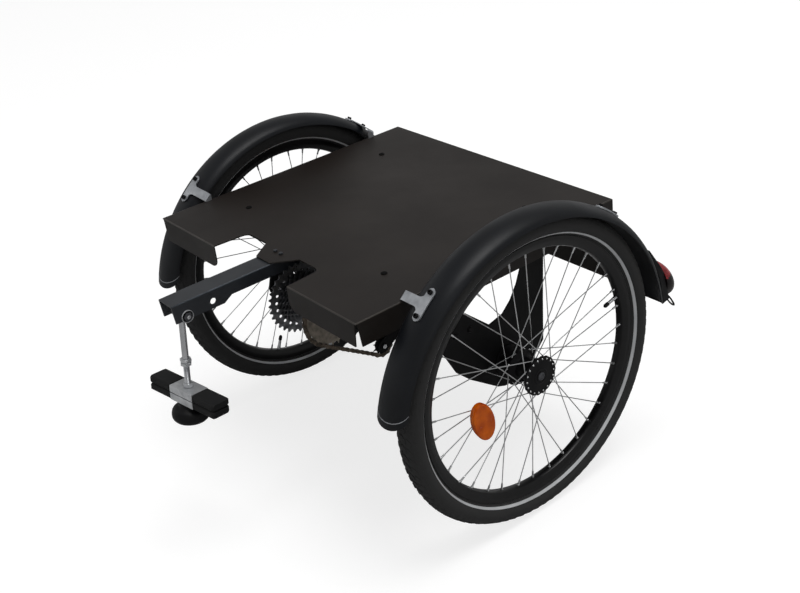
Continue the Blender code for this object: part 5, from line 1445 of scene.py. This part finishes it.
@dataclass
class Drive:
    """The chain drive: chain, sprockets, cassette, pulleys and cage."""

    pitch: float = 0.0127
    links: int = 78
    at_x: float = 0.132
    output_teeth: int = 30
    driven_teeth: int = 22
    pulley_teeth: int = 10
    cog_teeth: tuple[int, ...] = (34, 24, 22, 20, 18, 16, 14)
    cassette_x: float = 0.030
    cog_step: float = 0.0050
    cog_t: float = 0.0018
    # a tooth's corners: distance from the pitch circle, share of the tooth's turn
    tooth: tuple[Pair, ...] = ((-0.0036, -0.5), (-0.0034, -0.33), (-0.0004, -0.20), (0.0017, -0.10), (0.0021, 0.0),
                               (0.0017, 0.10), (-0.0004, 0.20), (-0.0034, 0.33))
    web_out: float = 0.0605
    web_in: float = 0.0460
    web_holes: int = 23
    web_hole_r: float = 0.0031
    plate_r: float = 0.0041

    def radius(self, teeth: int) -> float:
        """Return a sprocket's pitch radius."""
        return self.pitch / 2 / math.sin(math.pi / teeth)

    def path(self) -> list[Vector]:
        """Return the chain's closed path: output sprocket, tension pulley, guide pulley, driven sprocket."""
        circles = [(JACK, self.radius(self.output_teeth), 1), (TENSION, self.radius(self.pulley_teeth), 1),
                   (GUIDE, self.radius(self.pulley_teeth), -1), (AXLE, self.radius(self.driven_teeth), 1)]
        runs = []
        for (a, ra, sa), (b, rb, sb) in zip(circles, circles[1:] + circles[:1]):
            reach = math.hypot(b.y - a.y, b.z - a.z)
            runs.append(math.atan2(b.z - a.z, b.y - a.y) - math.asin((sb * rb - sa * ra) / reach))
        points = []
        for k, (at, radius, sense) in enumerate(circles):
            entry = runs[k - 1]
            swept = (runs[k] - entry) % (math.tau) if sense > 0 else (entry - runs[k]) % (math.tau)
            count = max(8, int(swept / math.radians(3)))
            for step in range(count + 1):
                way = entry + sense * swept * step / count
                reach = sense * radius
                points.append(Vector((self.at_x, at.y + math.sin(way) * reach, at.z - math.cos(way) * reach)))
        return points

    def link(self, inner: bool) -> bmesh.types.BMesh:
        """Build one link: two waisted plates, with rollers on an inner link and pins on an outer one.

        Args:
            inner: whether it is an inner link.

        Returns:
            The link, centred on the origin and running along Y.
        """
        half = self.pitch / 2
        outline = []
        for sign in (1, -1):
            for k in range(7):
                angle = math.radians(-70 + 140 * k / 6) + (0 if sign > 0 else math.pi)
                outline.append((sign * half + self.plate_r * math.cos(angle), self.plate_r * math.sin(angle)))
            outline.append((0.0, sign * 0.0030))
        stand = 0.00135 if inner else 0.00215
        turn = Matrix(((0.0, 0.0, 1.0), (1.0, 0.0, 0.0), (0.0, 1.0, 0.0))).to_4x4()
        parts = [slab(outline, stand, stand + 0.00072, turn), slab(outline, -stand - 0.00072, -stand, turn)]
        for y in (-half, half):
            place = turn @ Matrix.Translation((y, 0.0, 0.0))
            if inner:
                parts.append(slab(ring(12, 0.0037), -0.0013, 0.0013, place))
            else:
                parts.append(slab(ring(8, 0.0018), -0.0031, 0.0031, place))
        return gathered(parts)

    def chain(self) -> None:
        """Build the chain's links along its path."""
        path = self.path()
        total = sum((b - a).length for a, b in zip(path, path[1:] + path[:1]))
        shifted = self.shifted(path, total / self.links / 2)
        meshes = [Repeat.on_path(f"chain_set_{parity}", self.link(parity == 0), shifted, self.links, parity, CHAIN)
                  for parity in (0, 1)]
        settle("chain_links", joined("chain_links", meshes), Body.FRAME, ("chain",), 40.0)

    @staticmethod
    def shifted(path: Sequence[Vector], by: float) -> list[Vector]:
        """Return the closed path, started a distance further along.

        Args:
            path: the path's points.
            by: the distance.

        Returns:
            The same loop from its new start.
        """
        left = by
        for k in range(len(path)):
            step = path[(k + 1) % len(path)] - path[k]
            if step.length > left:
                start = path[k] + step.normalized() * left
                return [start] + list(path[k + 1:]) + list(path[:k + 1])
            left -= step.length
        return list(path)

    def cog(self, node: str, name: str, finish: Finish, body: Body) -> None:
        """Round a toothed node's edges.

        Args:
            node: the CAD node.
            name: the new piece's name.
            finish: what it is made of.
            body: what it rides on.
        """
        piece(name, [softened(node, 0.0002, limit=60.0)], finish, body, (node,))

    def cassette(self) -> None:
        """Build the cogs with rounded teeth and a perforated large cog."""
        shapes = []
        for k, teeth in enumerate(self.cog_teeth):
            at = JACK + Vector((self.cassette_x + self.cog_step * k, 0.0, 0.0))
            radius = self.radius(teeth)
            outline = []
            for tooth in range(teeth):
                middle = math.tau * (tooth + 0.5) / teeth
                step = math.tau / teeth
                for reach, share in self.tooth:
                    outline.append(polar(radius + reach, middle + step * share))
            if k == 0:
                shapes += self.perforated(at, outline, teeth)
            else:
                shapes.append(slab(outline, -self.cog_t / 2, self.cog_t / 2, along_x(at), 0.0003))
        end = self.cassette_x + self.cog_step * 6 + 0.0012
        spacer = [(0.0170, self.cassette_x - 0.0010), (0.0187, self.cassette_x - 0.0010), (0.0187, end), (0.0170, end)]
        shapes.append(lathe(spacer, 48, along_x(JACK)))
        piece("cassette_cogs", shapes, COG, Body.COGS, ("cassette",))
        nut = [(0.0070, end - 0.001), (0.0160, end - 0.001), (0.0164, end + 0.0006), (0.0150, end + 0.0016),
               (0.0105, end + 0.0016), (0.0100, end + 0.0002), (0.0070, end + 0.0002)]
        piece("cassette_lock_ring", [lathe(nut, 48, along_x(JACK))], BLACK_METAL, Body.JACK)

    def perforated(self, at: Vector, outline: Sequence[Pair], teeth: int) -> list[bmesh.types.BMesh]:
        """Build a cog whose web has a ring of round holes.

        Args:
            at: the cog's middle.
            outline: its toothed outline.
            teeth: how many teeth it has.

        Returns:
            The rim, the web with its holes, and the centre.
        """
        rim_in, web_in = self.web_out, self.web_in
        place = along_x(at)
        half = self.cog_t / 2
        rim = bmesh.new()
        count = len(outline)
        inner = ring(count, rim_in, math.atan2(outline[0][1], outline[0][0]))
        rows = [[rim.verts.new(place @ Vector((a, b, z))) for a, b in line]
                for line, z in ((outline, half), (outline, -half), (inner, -half), (inner, half))]
        skin(rim, rows, True)
        span = math.tau / self.web_holes
        mid = (rim_in + web_in) / 2
        sector = bmesh.new()
        border = []
        bore = []
        for k in range(16):
            angle = math.tau * k / 16
            c, s = math.cos(angle), math.sin(angle)
            scale = 1 / max(abs(c), abs(s))
            reach = mid + (rim_in - web_in) / 2 * c * scale
            turn = span / 2 * s * scale
            border.append(polar(reach, turn))
            bore.append((mid + self.web_hole_r * c, self.web_hole_r * s))
        lines = [(border, half), (bore, half), (bore, -half), (border, -half)]
        rows = [[sector.verts.new((z, a, b)) for a, b in line] for line, z in lines]
        skin(sector, rows)
        for k in (14, 15, 0, 1, 6, 7, 8, 9):
            n = (k + 1) % 16
            sector.faces.new((rows[3][k], rows[3][n], rows[0][n], rows[0][k]))
        mesh = Repeat.round_axis("cog_web", sector, at, self.web_holes, COG)
        web = bmesh.new()
        web.from_mesh(mesh)
        bmesh.ops.remove_doubles(web, verts=web.verts, dist=2e-5)
        centre = slab(ring(72, web_in + 0.0003), -half, half, place)
        return [rim, web, centre]

    def build(self) -> None:
        """Build the whole drive."""
        self.chain()
        self.cassette()
        self.cog("output_sprocket", "output_cog", SPROCKET, Body.JACK)
        self.cog("driven_sprocket", "driven_cog", SPROCKET, Body.DRIVE)
        self.cog("guide_pulley", "guide_wheel", NYLON, Body.UPPER_PULLEY)
        self.cog("tension_pulley", "tension_wheel", NYLON, Body.LOWER_PULLEY)
        for node in ("inner_cage_plate", "outer_cage_plate"):
            piece(f"{node}_steel", [softened(node, 0.0003)], BLACK_METAL, Body.CAGE, (node,))
        shaft = [(0.0, -0.050), (0.0052, -0.050), (0.0060, -0.0492), (0.0060, 0.1672), (0.0052, 0.168), (0.0, 0.168)]
        piece("jackshaft_bar", [lathe(shaft, 32, along_x(JACK), False)], BRIGHT, Body.JACK, ("jackshaft",))
        axle = [(0.0, -0.4112), (0.0066, -0.4112), (0.0075, -0.4102), (0.0075, 0.4102), (0.0066, 0.4112), (0.0, 0.4112)]
        piece("axle_bar", [lathe(axle, 40, along_x(AXLE), False)], BRIGHT, Body.DRIVE, ("axle",))
        cap = [(0.0, 0.4108), (0.0077, 0.4108), (0.0078, 0.4113), (0.0070, 0.4119), (0.0046, 0.4119), (0.0038, 0.4115),
               (0.0, 0.4115)]
        piece("axle_caps", [lathe(cap, 32, along_x(AXLE, side), False) for side in (-1, 1)], AXLE_STEEL, Body.DRIVE)


def dress_kept_nodes() -> None:
    """Give every CAD node that stays its material."""
    finishes = {"freehub": BLACK_METAL, "left_jack_bearing": BRIGHT, "right_jack_bearing": BRIGHT,
                "cage_pivot": BLACK_METAL, "tension_pin": BRIGHT}
    for name, finish in finishes.items():
        for slot in frame["nodes"][name].material_slots:
            slot.material = finish.material()
        log.info("%s kept with %s", name, finish.name)


@dataclass
class Studio:
    """The floor, the lamps and the camera."""

    focal_px: float = 1189.0
    width_px: float = 800.0
    azimuth: float = math.radians(54.41)
    elevation: float = math.radians(28.46)
    roll: float = math.radians(-7.05)
    eye: tuple[float, float, float] = (1.737, -1.238, 1.173)
    world: float = 0.25
    ceiling: float = 0.30
    gloss: float = 0.5
    shadow: float = 0.34
    paleness: float = 0.77

    def build(self) -> None:
        """Build the floor, the lamps and the camera."""
        self.camera()
        self.floor()
        self.lamps()
        bpy.context.scene.view_settings.view_transform = "Standard"

    def camera(self) -> None:
        """Set the camera where the photograph's was."""
        data = bpy.data.cameras.new("view")
        data.sensor_width = 36.0
        data.lens = 36.0 * self.focal_px / self.width_px
        data.clip_start = 0.05
        made = linked("view", data)
        az, el, roll = self.azimuth, self.elevation, self.roll
        back = Vector((math.sin(az) * math.cos(el), -math.cos(az) * math.cos(el), math.sin(el)))
        flat = Vector((0.0, 0.0, 1.0)).cross(back).normalized()
        top = back.cross(flat)
        right = math.cos(roll) * flat + math.sin(roll) * top
        up = -math.sin(roll) * flat + math.cos(roll) * top
        turned = Matrix((right, up, back)).transposed().to_4x4()
        made.matrix_world = Matrix.Translation(AXLE + Vector(self.eye)) @ turned
        bpy.context.scene.camera = made

    def floor(self) -> None:
        """Lay a pale floor that shows white to the camera and keeps the shadow."""
        shape = bmesh.new()
        reach = 40.0
        rows = 20
        for a in range(rows + 1):
            for b in range(rows + 1):
                shape.verts.new((reach * (2 * a / rows - 1), reach * (2 * b / rows - 1), -0.0006))
        shape.verts.ensure_lookup_table()
        for a in range(rows):
            for b in range(rows):
                k = a * (rows + 1) + b
                shape.faces.new([shape.verts[i] for i in (k, k + rows + 1, k + rows + 2, k + 1)])
        mesh = bpy.data.meshes.new("floor")
        shape.to_mesh(mesh)
        shape.free()
        paper = bpy.data.materials.new("white_paper")
        tree = cleared(paper)
        where = add(tree, "ShaderNodeTexCoord").outputs["Object"]
        noise = add(tree, "ShaderNodeTexNoise", {"Vector": where, "Scale": 3.0}).outputs["Fac"]
        tone = add(tree, "ShaderNodeMapRange", {"Value": noise, "To Min": 0.49, "To Max": 0.51}).outputs[0]
        grey = add(tree, "ShaderNodeCombineXYZ", {"X": tone, "Y": tone, "Z": tone}).outputs[0]
        lit = add(tree, "ShaderNodeBsdfDiffuse", {"Color": grey})
        soft = add(tree, "ShaderNodeBsdfDiffuse", {"Color": (self.shadow,) * 3 + (1.0,)})
        pale = add(tree, "ShaderNodeEmission", {"Color": WHITE, "Strength": self.paleness})
        seen = add(tree, "ShaderNodeAddShader", {0: soft.outputs[0], 1: pale.outputs[0]})
        mixed = add(tree, "ShaderNodeMixShader", {0: self.background_rays(tree, 0.0), 1: lit.outputs[0],
                                                  2: seen.outputs[0]})
        add(tree, "ShaderNodeOutputMaterial", {"Surface": mixed.outputs[0]})
        mesh.materials.append(paper)
        linked("floor", mesh)

    @staticmethod
    def background_rays(tree: bpy.types.NodeTree, gloss: float) -> bpy.types.NodeSocket:
        """Return 1 for rays that show the background: from the camera or through glass.

        Args:
            tree: the tree that uses it.
            gloss: what a ray off gloss gets instead.

        Returns:
            The socket with that share.
        """
        path = add(tree, "ShaderNodeLightPath")
        seen = add(tree, "ShaderNodeMath", {0: path.outputs["Is Camera Ray"], 1: path.outputs["Is Transmission Ray"]},
                   operation="MAXIMUM").outputs[0]
        return add(tree, "ShaderNodeMath", {0: path.outputs["Is Glossy Ray"], 1: gloss, 2: seen},
                   operation="MULTIPLY_ADD").outputs[0]

    def lamps(self) -> None:
        """Light the object softly from above, the front and the right."""
        sky = bpy.data.worlds.new("room")
        tree = cleared(sky)
        way = add(tree, "ShaderNodeTexCoord").outputs["Generated"]
        up = add(tree, "ShaderNodeSeparateXYZ", {0: way}).outputs["Z"]
        cove = add(tree, "ShaderNodeMapRange", {"Value": up, "From Min": 0.10, "From Max": 0.62, "To Min": 1.0,
                                                "To Max": self.ceiling}, interpolation_type="SMOOTHSTEP").outputs[0]
        seen = self.background_rays(tree, self.gloss)
        strength = add(tree, "ShaderNodeMix", {"Factor": seen, "A": self.world, "B": cove})
        plain = add(tree, "ShaderNodeBackground", {"Color": WHITE, "Strength": strength.outputs[0]})
        add(tree, "ShaderNodeOutputWorld", {"Surface": plain.outputs[0]})
        bpy.context.scene.world = sky
        for name, spot, power, size in (("key", (1.6, 0.6, 9.0), 480.0, 4.5), ("fill", (-7.0, -4.5, 6.5), 40.0, 5.0),
                                        ("side", (8.0, -2.0, 5.0), 40.0, 4.0)):
            lamp = bpy.data.lights.new(name, "AREA")
            lamp.energy = power
            lamp.size = size
            made = linked(name, lamp)
            made.location = spot
            made.rotation_euler = (Vector((0.0, 0.0, 0.25)) - Vector(spot)).to_track_quat("-Z", "Y").to_euler()


def main() -> None:
    """Build the trailer's looks, piece by piece."""
    logging.basicConfig(level=logging.INFO, format="%(name)s %(message)s")
    Deck().build()
    Tow().build()
    Drive().build()
    Wheel("right", 1, Body.DRIVE, math.radians(13)).build()
    Wheel("left", -1, Body.LEFT, math.radians(249)).build()
    Mudguard("left", -1).build()
    Mudguard("right", 1).build()
    dress_kept_nodes()
    Studio().build()


if __name__ == "__main__":
    main()
